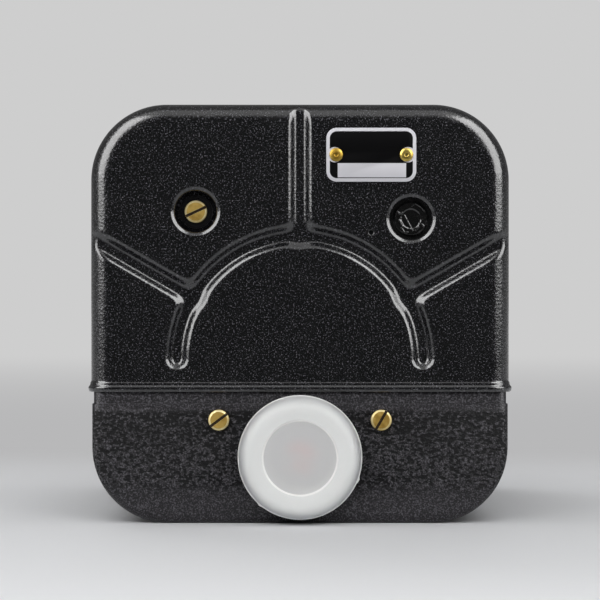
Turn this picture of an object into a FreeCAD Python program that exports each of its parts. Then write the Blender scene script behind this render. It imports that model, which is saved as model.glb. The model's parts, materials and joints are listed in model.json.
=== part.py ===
import FreeCAD, Part
import math
import os

# Gyro horizon for an instrument panel, in millimetres.
# X is to the pilot's right, Y runs from the panel face to the rear, Z is up.
# The origin is the middle of the four panel screws, on the face that meets the panel.

V = FreeCAD.Vector
X = V(1, 0, 0)
Y = V(0, 1, 0)
Z = V(0, 0, 1)
FIT = 0.05
GAP = 0.3

# Case
case_width = 127.0
case_height = 127.0
case_length = 205.0

# The instrument is drawn for a case of this size. Where a case is smaller one way, all of it is
# scaled to fit, and the other two ways grow by as much before that, so the case keeps its sizes.
drawn_width = 127.0
drawn_height = 127.0
drawn_length = 205.0
fit_scale = min(case_width / drawn_width, case_height / drawn_height, case_length / drawn_length)
body_width = case_width / fit_scale
body_height = case_height / fit_scale
body_length = case_length / fit_scale
case_corner = 23.0
bezel_thick = 14.0
bezel_edge = 1.6
cover_wall = 1.5
base_wall = 2.5
cover_rear_edge = 6.5
base_rear_edge = 3.0
base_set_back = 0.6
bead_height = 2.8
bead_out = 1.0
split_above_floor = 39.8
base_neck_height = 3.6
base_neck_step = 0.5
base_side_step = 0.5
half_w = body_width / 2
half_h = body_height / 2
floor_z = -half_h
split_z = floor_z + split_above_floor

# Pressed stiffening grooves of the rear face
groove_radius = 2.7
groove_rise = 0.5
arch_radius = 37.2
arch_above_floor = 49.8
spoke_angle = 30.0

# Screw cups, bleed hole and data plate of the rear face
cup_radius = 6.35
cup_depth = 6.0
cup_lip = 1.0
sealed_cup = (29.9 - half_w, half_h - 34.8)
open_cup = (half_w - 31.9, half_h - 32.6)
bleed_hole = (-21.5, half_h - 39.0)
bleed_radius = 0.7
plate_centre = (-21.55, half_h - 15.5)
plate_size = (27.2, 16.3)
plate_thick = 0.6
plate_corner = 3.2
rivet_offset = 10.6
rivet_radius = 2.05
rivet_height = 1.1

# Small screws
screw_head_radius = 2.8
cover_screw_head_radius = 3.4
screw_head_height = 1.8
screw_shank_radius = 1.5
slot_width = 0.7
slot_depth = 0.7
boss_radius = 4.2
base_screw_spacing = 49.1
base_screw_above_floor = 31.3
base_screw_head_radius = 3.15

# Electrical receptacle and its push-on cap
plug_above_floor = 20.4
shell_radius = 13.5
shell_bore = 12.2
shell_out = 11.0
shell_in = 10.0
shell_flange_radius = 16.5
shell_flange_thick = 1.6
insert_radius = 12.1
insert_thick = 8.0
pin_radius = 0.6
pin_out = 5.0
pin_counts = (4, 8, 12)
pin_ring_radii = (3.0, 6.0, 9.2)
cap_radius = 18.7
cap_wall = 1.3
cap_floor_radius = 11.0
cap_skirt_gap = 0.8
cap_crest_out = 15.2
cap_floor_out = 13.6
cap_collar_out = 6.0

# Window stack
window_z = 4.0
window_radius = 46.0
window_counterbore = 50.0
window_counterbore_depth = 6.0
glass_thick = 2.5
glass_radius = 49.5
gasket_thick = 1.0
ring_thick = 2.0
mask_front = 12.2
mask_thick = 1.2
mask_inner = 33.0

# Panel screws and bezel screws
panel_screw_inset = 13.5
panel_hole_radius = 2.0
panel_hole_depth = 9.0
bezel_screw_x = half_w - 6.5
bezel_screw_z = 22.0

# Slip indicator
slip_path_radius = 70.0
slip_half_angle = 12.5
slip_tube_radius = 3.2
slip_bore = 2.5
slip_ball_radius = 2.2
slip_below_window = 41.0

# Roll display ring and its servo
ring_inner = 36.0
ring_rim = 42.0
ring_module = 1.25
ring_teeth = 70
roll_pinion_teeth = 14
ring_front = 15.0
ring_gear_front = 18.7
ring_gear_thick = 2.8
servo_radius = 9.0
roll_servo_angle = 30.0
silhouette_thick = 1.0

# Pitch drum and its servo
drum_radius = 34.0
drum_half = 29.5
drum_wall = 1.5
drum_front_gap = 4.5
drum_shaft_radius = 2.0
drum_gear_teeth = 60
pitch_pinion_teeth = 30
pitch_module = 1.0
drum_gear_x = -41.0
drum_gear_thick = 3.0
pitch_servo_angle = 48.0

# Chassis
plate_corner_r = 20.0
front_plate_thick = 5.0
side_plate_x = 47.0
side_plate_thick = 2.5
bulkhead_half = half_w - cover_wall - 3.0
bulkhead_top = half_h - cover_wall - 3.0
bulkhead_thick = 3.0
mid_bulkhead_y = 100.0
rear_bulkhead_space = 18.0
rear_bulkhead_y = body_length - rear_bulkhead_space
tie_rod_x = half_w - 11.5
tie_rod_z = half_h - 17.5
tie_rod_radius = 3.0

# Gyro
gimbal_y = (mid_bulkhead_y + bulkhead_thick + rear_bulkhead_y) / 2
gimbal_half_x = 38.0
gimbal_half_y = 38.0
gimbal_bar = 5.0
gimbal_depth = 14.0
gimbal_shaft_radius = 4.0
bearing_radius = 8.0
pitch_pin_radius = 2.5
pitch_bearing_radius = 4.5
torquer_radius = 11.0
torquer_length = 11.0
synchro_radius = 9.0
housing_radius = 27.0
housing_wall = 2.0
rotor_radius = housing_radius - housing_wall - 4.0
rotor_height = 22.0
stator_radius = 9.0
rotor_shaft_radius = 2.0

# Controls on the bezel
control_x = 33.0
control_z = floor_z + 13.0
knob_radius = 8.0
knob_length = 11.0
knob_gap = 1.5
knob_flutes = 12
control_shaft_radius = 2.5
control_bush_radius = 5.0
button_radius = 7.0
button_length = 9.0
cage_travel = 6.0

# Warning flag
flag_pivot = (-47.0, 33.0)
flag_y = 22.5
flag_thick = 0.8

# Bracket of the switch, behind the button
bracket_half = 7.0
bracket_low = floor_z + 3.5
bracket_top = floor_z + 6.0
upright_y = 45.0

# Places worked out from the sizes above
plug_z = floor_z + plug_above_floor
base_face = body_length - base_set_back
base_inside = base_face - base_wall
base_screw_z = floor_z + base_screw_above_floor
base_screw_xs = (-base_screw_spacing / 2, base_screw_spacing / 2)
cup_floor = body_length - cup_depth
washer_thick = 1.2
glass_back = window_counterbore_depth - gasket_thick
slip_centre = V(0, 0, window_z - slip_below_window + slip_path_radius)
slip_y = glass_back + GAP + slip_tube_radius
plate_front = bezel_thick
plate_back = bezel_thick + front_plate_thick
mask_back = mask_front + mask_thick
ring_pitch = ring_teeth * ring_module / 2
pinion_reach = ring_pitch + roll_pinion_teeth * ring_module / 2
pinion_x = pinion_reach * math.cos(math.radians(roll_servo_angle))
pinion_z = window_z + pinion_reach * math.sin(math.radians(roll_servo_angle))
bearing_rim = window_radius - 0.5
bearing_flange = 52.0
bearing_flange_thick = 2.0
pinion_pocket = 10.5
drum_y = plate_back + 0.5 + drum_radius
drum_top = drum_radius - drum_wall
pitch_reach = (drum_gear_teeth + pitch_pinion_teeth) * pitch_module / 2
servo_y = drum_y + pitch_reach * math.cos(math.radians(pitch_servo_angle))
servo_z = window_z + pitch_reach * math.sin(math.radians(pitch_servo_angle))
servo_start = -34.0
servo_length = 40.0
worm_radius = 4.0
worm_start = 40.0
worm_end = 67.0
index_x = -35.5
index_thick = 1.5
bush_flange = 0.8
button_back = -1.2 - cage_travel
collar_y = plate_back + 0.2
collar_thick = 2.0
rod_end = 50.0
spring_coils = 6
spring_wire = 0.45
flag_axis = V(flag_pivot[0], 0, flag_pivot[1])
mid_back = mid_bulkhead_y + bulkhead_thick
rear_back = rear_bulkhead_y + bulkhead_thick
bulkhead_low = floor_z + base_wall
gyro_centre = V(0, gimbal_y, window_z)
housing_split = 8.0
housing_end = 16.0
boss_low = housing_end - housing_wall - 2.5
stator_foot = 7.0
rotor_bearing_radius = 4.5
board_low = bulkhead_low + 4.0
board_thick = 1.6


def box(x0, x1, y0, y1, z0, z1):
    """A block between two corners."""
    return Part.makeBox(x1 - x0, y1 - y0, z1 - z0, V(x0, y0, z0))


def rod(radius, start, length, axis=Y):
    """A cylinder from a start point along an axis."""
    return Part.makeCylinder(radius, length, start, axis)


def bore(radius, at, axis=Y):
    """A cutter through a point, longer both ways than the case."""
    return rod(radius, at - axis * body_length, 2 * body_length, axis)


def tube(outer, inner, start, length, axis=Y):
    """A cylinder with a bore."""
    return rod(outer, start, length, axis).cut(rod(inner, start, length, axis))


def fuse(shapes):
    """One solid from several that touch."""
    joined = shapes[0].multiFuse(shapes[1:]) if len(shapes) > 1 else shapes[0]
    return joined.removeSplitter()


def cut(shape, tools):
    """A shape less several others."""
    return shape.cut(tools).removeSplitter()


def slab(y0, y1, x_half, z0, z1, corner):
    """A rounded rectangle in the XZ plane, drawn out along Y."""
    block = box(-x_half, x_half, y0, y1, z0, z1)
    edges = [e for e in block.Edges if abs(e.tangentAt(e.FirstParameter).dot(Y)) > 0.9]
    return block.makeFillet(corner, edges)


def spun(points, axis=Y, centre=V(0, 0, 0), turn=360):
    """A solid of revolution from (radius, height) points about an axis through a centre."""
    side = X if axis != X else Z
    path = [centre + side * r + axis * h for r, h in points]
    face = Part.Face(Part.makePolygon(path + [path[0]]))
    return face.revolve(centre, axis, turn)


def save(name, *solids):
    """Writes one STEP file that holds one node's solids."""
    shape = solids[0] if len(solids) == 1 else Part.makeCompound(list(solids))
    if fit_scale != 1.0:
        shape = shape.scaled(fit_scale, V(0, 0, 0))
    shape.exportStep(os.path.join("parts", name + ".step"))


def screw(at, head_radius, head_height, shank_length, turn=25.0, axis=Y, edge=0.3):
    """A slotted cheese-head screw whose head seats at a point and stands out along the axis."""
    head = rod(head_radius, at, head_height, axis)
    rim = [e for e in head.Edges if abs((e.CenterOfMass - at).dot(axis) - head_height) < 1e-6]
    head = head.makeChamfer(edge, [e for e in rim if e.Closed])
    shank = rod(screw_shank_radius, at - axis * shank_length, shank_length, axis)
    reach = 2 * head_radius
    slot = box(-reach, reach, head_height - slot_depth, head_height, -slot_width / 2, slot_width / 2)
    slot.rotate(V(0, 0, 0), Y, turn)
    if axis.y < 0:
        slot = slot.mirror(V(0, 0, 0), Y)
    slot.translate(at)
    return cut(fuse([head, shank]), [slot])


def involute_half_angle(radius, pitch_radius, teeth, play):
    """Half the angle that a 20 degree tooth spans at a radius."""
    pressure = math.radians(20)
    base = pitch_radius * math.cos(pressure)
    at = math.acos(min(1.0, base / max(radius, base)))
    return math.pi / (2 * teeth) * (1 - play) + math.tan(pressure) - pressure - (math.tan(at) - at)


def gear(teeth, module, thick, phase, play=0.12):
    """A spur gear about Y at the origin, with a tooth at the phase angle from X towards Z."""
    pitch = teeth * module / 2
    root = pitch - 1.2 * module
    tip = pitch + 0.9 * module
    spots = []
    for n in range(teeth):
        middle = phase + 2 * math.pi * n / teeth
        low = involute_half_angle(root, pitch, teeth, play)
        high = involute_half_angle(tip, pitch, teeth, play)
        for radius, angle in ((root, -low), (tip, -high), (tip, high), (root, low)):
            spots.append(V(radius * math.cos(middle + angle), 0, radius * math.sin(middle + angle)))
    face = Part.Face(Part.makePolygon(spots + [spots[0]]))
    return face.extrude(Y * thick)


def case_form(inset, y0, y1, rear_edge, side_step=0):
    """The case's outline drawn out along Y, smaller all round by the inset, its rear edge rounded."""
    form = slab(y0, y1, half_w - side_step - inset, -half_h + inset, half_h - inset, case_corner - inset)
    rear = [e for e in form.Edges if abs(e.CenterOfMass.y - y1) < 1e-6]
    return form.makeFillet(rear_edge, rear)


def on_rear(place, y):
    """A point of the rear face, from its place across and up."""
    return V(place[0], y, place[1])


def upper_cover():
    """Drawn cover: roof, sides and rear wall with pressed grooves, screw cups and a rolled bead."""
    outer = case_form(0, bezel_thick, body_length, cover_rear_edge)
    inner = case_form(cover_wall, bezel_thick - 1, body_length - cover_wall, cover_rear_edge - cover_wall)
    centre = V(0, body_length + groove_rise, floor_z + arch_above_floor)
    reach = 2 * body_width
    ridges = []
    grooves = []
    for group, radius in ((ridges, groove_radius + cover_wall), (grooves, groove_radius)):
        start = centre + X * arch_radius
        disc = Part.Face(Part.Wire(Part.makeCircle(radius, start, Z)))
        group.append(disc.revolve(centre, -Y, 180))
        group.extend(Part.makeSphere(radius, centre + X * side) for side in (-arch_radius, arch_radius))
        for angle in (spoke_angle, 90.0, 180.0 - spoke_angle):
            way = V(math.cos(math.radians(angle)), 0, math.sin(math.radians(angle)))
            group.append(rod(radius, centre + way * arch_radius, reach, way))
    cup_back = body_length - cup_depth - cover_wall
    cups = (sealed_cup, open_cup)
    cup_walls = [rod(cup_radius + cover_wall, on_rear(c, cup_back), cup_depth) for c in cups]
    walls = outer.cut(inner).multiFuse([outer.common(form) for form in ridges + cup_walls])
    bead = box(-half_w - bead_out, half_w + bead_out, bezel_thick, body_length + bead_out,
               split_z, split_z + bead_height)
    upright = [e for e in bead.Edges if abs(e.tangentAt(e.FirstParameter).z) > 0.9]
    bead = bead.makeFillet(cover_rear_edge + bead_out, [e for e in upright if e.CenterOfMass.y > gimbal_y])
    rims = [e for e in bead.Edges if abs(e.tangentAt(e.FirstParameter).z) < 0.1
            and e.CenterOfMass.y > bezel_thick + 1]
    bead = bead.makeFillet(bead_out, rims).cut(inner)
    walls = walls.fuse(bead).common(box(-reach, reach, 0, 2 * body_length, split_z, reach))
    holes = [rod(cup_radius, on_rear(c, cup_back + cover_wall), reach) for c in cups]
    holes += [rod(screw_shank_radius + FIT, on_rear(c, cup_back - 1), reach) for c in cups]
    holes += [rod(bleed_radius, on_rear(bleed_hole, cup_back), reach)]
    holes += [rod(rivet_radius / 2 + FIT, on_rear(c, cup_back), reach) for c in rivet_places()]
    cover = cut(walls, grooves + holes)
    lips = [e for e in cover.Edges if e.Closed and abs(e.CenterOfMass.y - body_length) < 1e-4
            and hasattr(e.Curve, "Radius") and abs(e.Curve.Radius - cup_radius) < 1e-4]
    return cover.makeFillet(cup_lip, lips)


def rivet_places():
    """The two rivets' places on the rear face."""
    return [(plate_centre[0] + side * rivet_offset, plate_centre[1]) for side in (-1, 1)]


def base_housing():
    """Cast base: floor, lower sides and lower rear wall, with a neck that the cover's bead overhangs."""
    rear = body_length - base_set_back
    outer = case_form(0, bezel_thick, rear, base_rear_edge, base_side_step)
    neck = case_form(base_neck_step, bezel_thick, rear - base_neck_step, base_rear_edge - base_neck_step,
                     base_side_step)
    inner = case_form(base_wall, bezel_thick - 1, rear - base_wall, base_rear_edge - 1.5)
    reach = 2 * body_width
    below = box(-reach, reach, 0, 2 * body_length, -reach, split_z - base_neck_height)
    band = box(-reach, reach, 0, 2 * body_length, split_z - base_neck_height, split_z)
    shell = outer.common(below).fuse(neck.common(band)).cut(inner)
    holes = [rod(shell_radius + FIT, V(0, rear - reach / 2, plug_z), reach)]
    for x in base_screw_xs:
        holes.append(rod(screw_shank_radius + FIT, V(x, rear - 2 * base_wall, base_screw_z), reach))
    return cut(shell, holes)


def front_bezel():
    """Cast bezel: window with a stepped seat, control holes, panel holes and screw holes."""
    body = slab(0, bezel_thick, half_w, -half_h, half_h, case_corner)
    front = [e for e in body.Edges if abs(e.CenterOfMass.y) < 1e-6]
    body = body.makeChamfer(bezel_edge, front)
    reach = 2 * bezel_thick
    tools = [rod(window_radius, V(0, -1, window_z), reach),
             rod(window_counterbore, V(0, -1, window_z), window_counterbore_depth + 1)]
    tools += [rod(panel_hole_radius, V(x, -1, z), panel_hole_depth + 1) for x, z in panel_screws()]
    for x, z in bezel_screws():
        tools.append(rod(screw_shank_radius + FIT, V(x, -1, z), reach))
        tools.append(rod(screw_head_radius + GAP, V(x, -1, z), screw_head_height + GAP + 1))
    tools += [rod(control_bush_radius, V(side * control_x, -1, control_z), reach) for side in (-1, 1)]
    return cut(body, tools)


def panel_screws():
    """The four panel screws' places on the front face."""
    across = half_w - panel_screw_inset
    up = half_h - panel_screw_inset
    return [(x, z) for x in (-across, across) for z in (-up, up)]


def bezel_screws():
    """The four bezel screws' places on the front face."""
    heights = (window_z - bezel_screw_z, window_z + bezel_screw_z)
    return [(x, z) for x in (-bezel_screw_x, bezel_screw_x) for z in heights]


def data_plate():
    """Etched plate with rounded corners and two rivet holes."""
    plate = slab(0, plate_thick, plate_size[0] / 2, -plate_size[1] / 2, plate_size[1] / 2, plate_corner)
    plate.translate(on_rear(plate_centre, body_length))
    return cut(plate, [rod(rivet_radius / 2 + FIT, on_rear(c, body_length - 1), 3) for c in rivet_places()])


def plate_rivets():
    """Two round-headed rivets with dented middles, through the plate and the cover."""
    seat = body_length + plate_thick
    shank = plate_thick + cover_wall
    profile = [(0, -shank), (rivet_radius / 2, -shank), (rivet_radius / 2, 0), (rivet_radius, 0),
               (rivet_radius, 0.3 * rivet_height), (0.75 * rivet_radius, 0.8 * rivet_height),
               (0.45 * rivet_radius, rivet_height), (0.25 * rivet_radius, 0.75 * rivet_height),
               (0, 0.7 * rivet_height)]
    return [spun(profile, Y, on_rear(c, seat)) for c in rivet_places()]


def cover_screws():
    """The screw in the open cup and the one under the seal."""
    seat = cup_floor + washer_thick
    shank = washer_thick + cover_wall + 5
    return [screw(on_rear(c, seat), cover_screw_head_radius, screw_head_height, shank, 25, edge=0.55)
            for c in (sealed_cup, open_cup)]


def cup_washers():
    """A washer under each cover screw."""
    return [tube(cup_radius - 0.85, screw_shank_radius + FIT, on_rear(c, cup_floor), washer_thick)
            for c in (sealed_cup, open_cup)]


def seal_mastic(under):
    """Lump of sealing compound that fills the right-hand cup over its screw."""
    profile = [(0, 0), (cup_radius, 0), (cup_radius, 3.2), (cup_radius - 0.9, 3.6), (cup_radius - 2.0, 3.0),
               (cup_radius - 3.0, 3.9), (0, 3.4)]
    return cut(spun(profile, Y, on_rear(sealed_cup, cup_floor)), under)


def base_rear_screws():
    """Two brass screws through the base's rear wall into the rear bulkhead's posts."""
    shank = base_wall + 6
    return [screw(V(x, base_face, base_screw_z), base_screw_head_radius, screw_head_height, shank, turn)
            for x, turn in zip(base_screw_xs, (60, 37))]


def connector_shell():
    """Threaded receptacle shell with a flange that seats inside the base's rear wall."""
    profile = [(shell_bore, -base_wall - shell_in), (shell_radius, -base_wall - shell_in),
               (shell_radius, -base_wall - shell_flange_thick),
               (shell_flange_radius, -base_wall - shell_flange_thick),
               (shell_flange_radius, -base_wall), (shell_radius, -base_wall), (shell_radius, shell_out - 0.6),
               (shell_radius - 0.6, shell_out), (shell_bore, shell_out)]
    return spun(profile, Y, V(0, base_face, plug_z))


def connector_insert():
    """Moulded contact block that the pins pass through."""
    block = rod(insert_radius, V(0, base_face - insert_thick, plug_z), insert_thick)
    return cut(block, [bore(pin_radius, V(x, 0, z)) for x, z in pin_places()])


def pin_places():
    """The contact pins' places on their three rings."""
    spots = []
    for count, radius in zip(pin_counts, pin_ring_radii):
        for n in range(round(count)):
            angle = 2 * math.pi * (n + 0.5) / count
            spots.append((radius * math.cos(angle), plug_z + radius * math.sin(angle)))
    return spots


def connector_pins():
    """Contact pins, held in the block and standing out into the shell's mouth."""
    length = insert_thick + pin_out + 3
    return [rod(pin_radius, V(x, base_face + pin_out - length, z), length) for x, z in pin_places()]


def connector_cap():
    """Soft cap: a skirt round the shell, a low ring over its mouth and a collar pushed into its bore."""
    crest = cap_crest_out
    outer = [(cap_radius, cap_skirt_gap), (cap_radius, crest - 6.0), (cap_radius - 0.6, crest - 2.8),
             (cap_radius - 1.8, crest - 0.9), (cap_radius - 3.6, crest),
             (cap_floor_radius + 1.6, crest - 0.3), (cap_floor_radius + 0.4, crest - 0.8),
             (cap_floor_radius, cap_floor_out), (0, cap_floor_out)]
    plug = shell_bore - FIT
    skirt = cap_radius - cap_wall
    under = cap_floor_out - cap_wall
    inner = [(0, under), (plug - cap_wall, under), (plug - cap_wall, cap_collar_out), (plug, cap_collar_out),
             (plug, shell_out), (shell_radius + GAP, shell_out),
             (skirt - 2.6, crest - cap_wall - 0.4), (skirt - 0.6, crest - cap_wall - 2.4),
             (skirt, crest - 6.0), (skirt, cap_skirt_gap)]
    return spun(outer + inner, Y, V(0, base_face, plug_z))


def cover_glass():
    """Flat window glass."""
    return rod(glass_radius, V(0, glass_back - glass_thick, window_z), glass_thick)


def glass_gasket():
    """Rubber ring between the glass and the bezel's step."""
    return tube(glass_radius, window_radius + FIT, V(0, glass_back, window_z), gasket_thick)


def glass_ring():
    """Retaining ring with two spanner notches."""
    start = glass_back - glass_thick - ring_thick
    ring = tube(window_counterbore - FIT, window_radius, V(0, start, window_z), ring_thick)
    front = [e for e in ring.Edges if abs(e.CenterOfMass.y - start) < 1e-6]
    edge = [e for e in front if e.Curve.Radius < window_radius + 1]
    ring = ring.makeChamfer(ring_thick / 2, edge)
    reach = window_counterbore + 1
    notch = [box(x - 1.5, x + 1.5, start - 1, start + 1, window_z - 1.5, window_z + 1.5)
             for x in (-reach + 2.5, reach - 2.5)]
    return cut(ring, notch)


def dial_mask():
    """Plate with the bank scale, round the opening that shows the drum."""
    return tube(window_radius - 0.5, mask_inner, V(0, mask_front, window_z), mask_thick)


def slip_sweep(face_solid, half_angle):
    """A flat face at the lowest point of the slip path, swept both ways about the path's centre."""
    face_solid.rotate(slip_centre, Y, -half_angle)
    return face_solid.revolve(slip_centre, Y, 2 * half_angle)


def slip_disc(radius):
    """A round face across the slip path at its lowest point."""
    low = V(0, slip_y, slip_centre.z - slip_path_radius)
    return Part.Face(Part.Wire(Part.makeCircle(radius, low, X)))


def slip_tube():
    """Bent glass tube."""
    outer = slip_sweep(slip_disc(slip_tube_radius), slip_half_angle)
    return outer.cut(slip_sweep(slip_disc(slip_bore), slip_half_angle))


def slip_tube_rest():
    """White strip on the mask, hollowed to seat the slip tube."""
    low = slip_centre.z - slip_path_radius
    front = slip_y + 1.4
    corners = ((front, -3.2), (mask_front, -3.2), (mask_front, 3.8), (front, 3.8), (front, -3.2))
    face = Part.Face(Part.makePolygon([V(0, y, low + z) for y, z in corners]))
    strip = slip_sweep(face, slip_half_angle + 1.2)
    tools = [slip_sweep(slip_disc(slip_tube_radius + FIT), slip_half_angle + 4)]
    return cut(strip, tools)


def slip_ball():
    """Heavy black ball in the slip tube."""
    return Part.makeSphere(slip_ball_radius, V(0, slip_y, slip_centre.z - slip_path_radius))


def bezel_fixings():
    """Four screws whose sunk heads clamp the bezel to the front plate."""
    seat = screw_head_height + GAP
    shank = bezel_thick + front_plate_thick - seat - 0.5
    return [screw(V(x, seat, z), screw_head_radius, screw_head_height, shank, turn, -Y)
            for (x, z), turn in zip(bezel_screws(), (15, 70, 120, 40))]


def front_plate():
    """Main plate behind the bezel, with the ring bearing's seat and the switch bracket."""
    inset = base_wall + 2 * FIT
    plate = slab(plate_front, plate_back, half_w - inset, floor_z + inset, half_h - inset,
                 case_corner - inset)
    strip = box(control_x - bracket_half, control_x + bracket_half, plate_back, plate_back + 53,
                bracket_low, bracket_top)
    upright = box(control_x - bracket_half, control_x + bracket_half, upright_y, upright_y + 2,
                  bracket_low, control_z + 7.5)
    tools = [rod(bearing_rim + 2 * FIT, V(0, 0, window_z), 2 * plate_back),
             rod(bearing_flange + 2 * FIT, V(0, 0, window_z), plate_front + bearing_flange_thick),
             rod(pinion_pocket, V(pinion_x, plate_back - 0.6, pinion_z), 3)]
    tools += [rod(screw_shank_radius + FIT, V(x, 0, z), 2 * plate_back) for x, z in bezel_screws()]
    tools += [bore(control_shaft_radius + FIT, V(side * control_x, 0, control_z)) for side in (-1, 1)]
    return cut(fuse([plate, strip, upright]), tools)


def ring_bearing():
    """Plain bearing that carries the roll ring, clamped between the bezel and the front plate."""
    inside = ring_rim + FIT
    flange_back = plate_front + bearing_flange_thick
    profile = [(inside - 0.6, mask_back), (bearing_rim, mask_back), (bearing_rim, plate_front),
               (bearing_flange, plate_front), (bearing_flange, flange_back), (bearing_rim, flange_back),
               (bearing_rim, ring_gear_front - GAP), (inside, ring_gear_front - GAP),
               (inside, ring_front - GAP), (inside - 0.6, ring_front - GAP)]
    return spun(profile, Y, V(0, 0, window_z))


def roll_ring():
    """Ring that carries the small aeroplane, with its toothed edge behind."""
    rim = tube(ring_rim, ring_inner, V(0, ring_front, window_z), ring_gear_front - ring_front)
    teeth = gear(ring_teeth, ring_module, ring_gear_thick, math.radians(roll_servo_angle))
    teeth.translate(V(0, ring_gear_front, window_z))
    return cut(fuse([rim, teeth]), [bore(ring_inner, V(0, 0, window_z))])


def aircraft_silhouette():
    """Small aeroplane seen from behind, on a stem and band that seat on the roll ring."""
    front = ring_front - silhouette_thick
    wing = box(-24, 24, front, ring_front, window_z - 0.9, window_z + 0.9)
    body = rod(2.6, V(0, front, window_z), silhouette_thick)
    fin = box(-0.7, 0.7, front, ring_front, window_z, window_z + 7)
    stem = box(-1.0, 1.0, front, ring_front, window_z - 37.5, window_z)
    band = tube(40.6, 36.6, V(0, front, window_z), silhouette_thick)
    lower = box(-9, 9, front, ring_front, window_z - 45, window_z - 30)
    pointer = Part.Face(Part.makePolygon([V(-2.2, front, window_z + 36.8), V(2.2, front, window_z + 36.8),
                                          V(0, front, window_z + 31.0), V(-2.2, front, window_z + 36.8)]))
    upper = box(-4, 4, front, ring_front, window_z + 30, window_z + 45)
    bands = [band.common(lower), band.common(upper)]
    return fuse([wing, body, fin, stem, pointer.extrude(Y * silhouette_thick)] + bands)


def roll_pinion():
    """Pinion and its shaft, meshed with the roll ring."""
    gap_phase = math.radians(roll_servo_angle + 180) + math.pi / roll_pinion_teeth
    teeth = gear(roll_pinion_teeth, ring_module, ring_gear_thick, gap_phase)
    teeth.translate(V(pinion_x, ring_gear_front, pinion_z))
    hub = rod(4.0, V(pinion_x, ring_gear_front + ring_gear_thick, pinion_z), 1.5)
    shaft = rod(1.5, V(pinion_x, ring_gear_front, pinion_z), 9)
    return fuse([teeth, hub, shaft])


def roll_servo_motor():
    """Round servo motor on two posts from the front plate."""
    start = ring_gear_front + ring_gear_thick + 2.5
    body = rod(servo_radius, V(pinion_x, start, pinion_z), 38)
    flange = slab(start, start + 2, 15.5, -3.5, 3.5, 3.0)
    flange.translate(V(pinion_x, 0, pinion_z))
    flange.rotate(V(pinion_x, 0, pinion_z), Y, 45)
    way = V(math.cos(math.radians(45)), 0, -math.sin(math.radians(45)))
    posts = [rod(1.8, V(pinion_x, plate_back, pinion_z) + way * reach, start - plate_back + 1)
             for reach in (-13.0, 13.0)]
    rear = rod(3.0, V(pinion_x, start + 38, pinion_z), 2)
    return cut(fuse([body, flange, rear] + posts), [rod(1.5 + FIT, V(pinion_x, 0, pinion_z), start + 5)])


def on_drum(x, radius=0, angle=0):
    """A point at a radius from the drum's axis, its angle from the rear upwards."""
    turn = math.radians(angle)
    return V(x, drum_y + radius * math.cos(turn), window_z + radius * math.sin(turn))


def pitch_drum():
    """Hollow drum that carries the horizon, with a disc and hub at each end."""
    end = drum_half + 2
    inner = drum_half - drum_wall
    profile = [(drum_shaft_radius, -end), (5, -end), (5, -drum_half), (drum_radius, -drum_half),
               (drum_radius, drum_half), (5, drum_half), (5, end), (drum_shaft_radius, end),
               (drum_shaft_radius, inner), (drum_top, inner), (drum_top, -inner), (drum_shaft_radius, -inner)]
    return spun(profile, X, on_drum(0))


def drum_shaft():
    """Shaft of the drum, carried at both ends by the side plates' bearings."""
    reach = side_plate_x + side_plate_thick
    return rod(drum_shaft_radius, on_drum(-reach), 2 * reach, X)


def turned_gear(teeth, module, thick, phase, centre):
    """A gear about X at a centre, its phase measured from the rear upwards."""
    form = gear(teeth, module, thick, phase)
    form.rotate(V(0, 0, 0), Z, 90)
    form.translate(centre + X * thick)
    return form


def drum_gear():
    """Gear pressed on the drum's shaft."""
    form = turned_gear(drum_gear_teeth, pitch_module, drum_gear_thick, math.radians(pitch_servo_angle),
                       on_drum(drum_gear_x))
    hub = rod(5.0, on_drum(drum_gear_x - 2.5), 2.5, X)
    return cut(fuse([form, hub]), [bore(drum_shaft_radius, on_drum(0), X)])


def pitch_pinion():
    """Pinion and its shaft, meshed with the drum's gear."""
    centre = V(drum_gear_x, servo_y, servo_z)
    gap_phase = math.radians(pitch_servo_angle + 180) + math.pi / pitch_pinion_teeth
    form = turned_gear(pitch_pinion_teeth, pitch_module, drum_gear_thick, gap_phase, centre)
    return fuse([form, rod(5.0, centre - X * 2, 2, X), rod(1.5, centre, 11, X)])


def pitch_servo_motor():
    """Round servo motor, its axis across the case."""
    start = V(servo_start, servo_y, servo_z)
    body = rod(servo_radius, start, servo_length, X)
    nose = rod(5.0, start - X * 1.5, 1.5, X)
    tail = rod(3.0, start + X * servo_length, 2, X)
    return cut(fuse([body, nose, tail]), [rod(1.5 + FIT, start - X * 5, 11, X)])


def drum_side_plates():
    """Two cheeks on the front plate that hold the drum's bearings."""
    cheeks = []
    for side in (-1, 1):
        near, far = sorted((side * side_plate_x, side * (side_plate_x + side_plate_thick)))
        foot_near, foot_far = sorted((side * side_plate_x, side * (side_plate_x + 7)))
        cheek = box(near, far, plate_back, plate_back + 47, window_z - 14, window_z + 14)
        along = [e for e in cheek.Edges if abs(e.tangentAt(e.FirstParameter).x) > 0.9]
        cheek = cheek.makeFillet(8, [e for e in along if e.CenterOfMass.y > plate_back + 1])
        foot = box(foot_near, foot_far, plate_back, plate_back + 2.5, window_z - 14, window_z + 14)
        cheeks.append(cut(fuse([cheek, foot]), [bore(pitch_bearing_radius, on_drum(0), X)]))
    return cheeks


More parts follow.
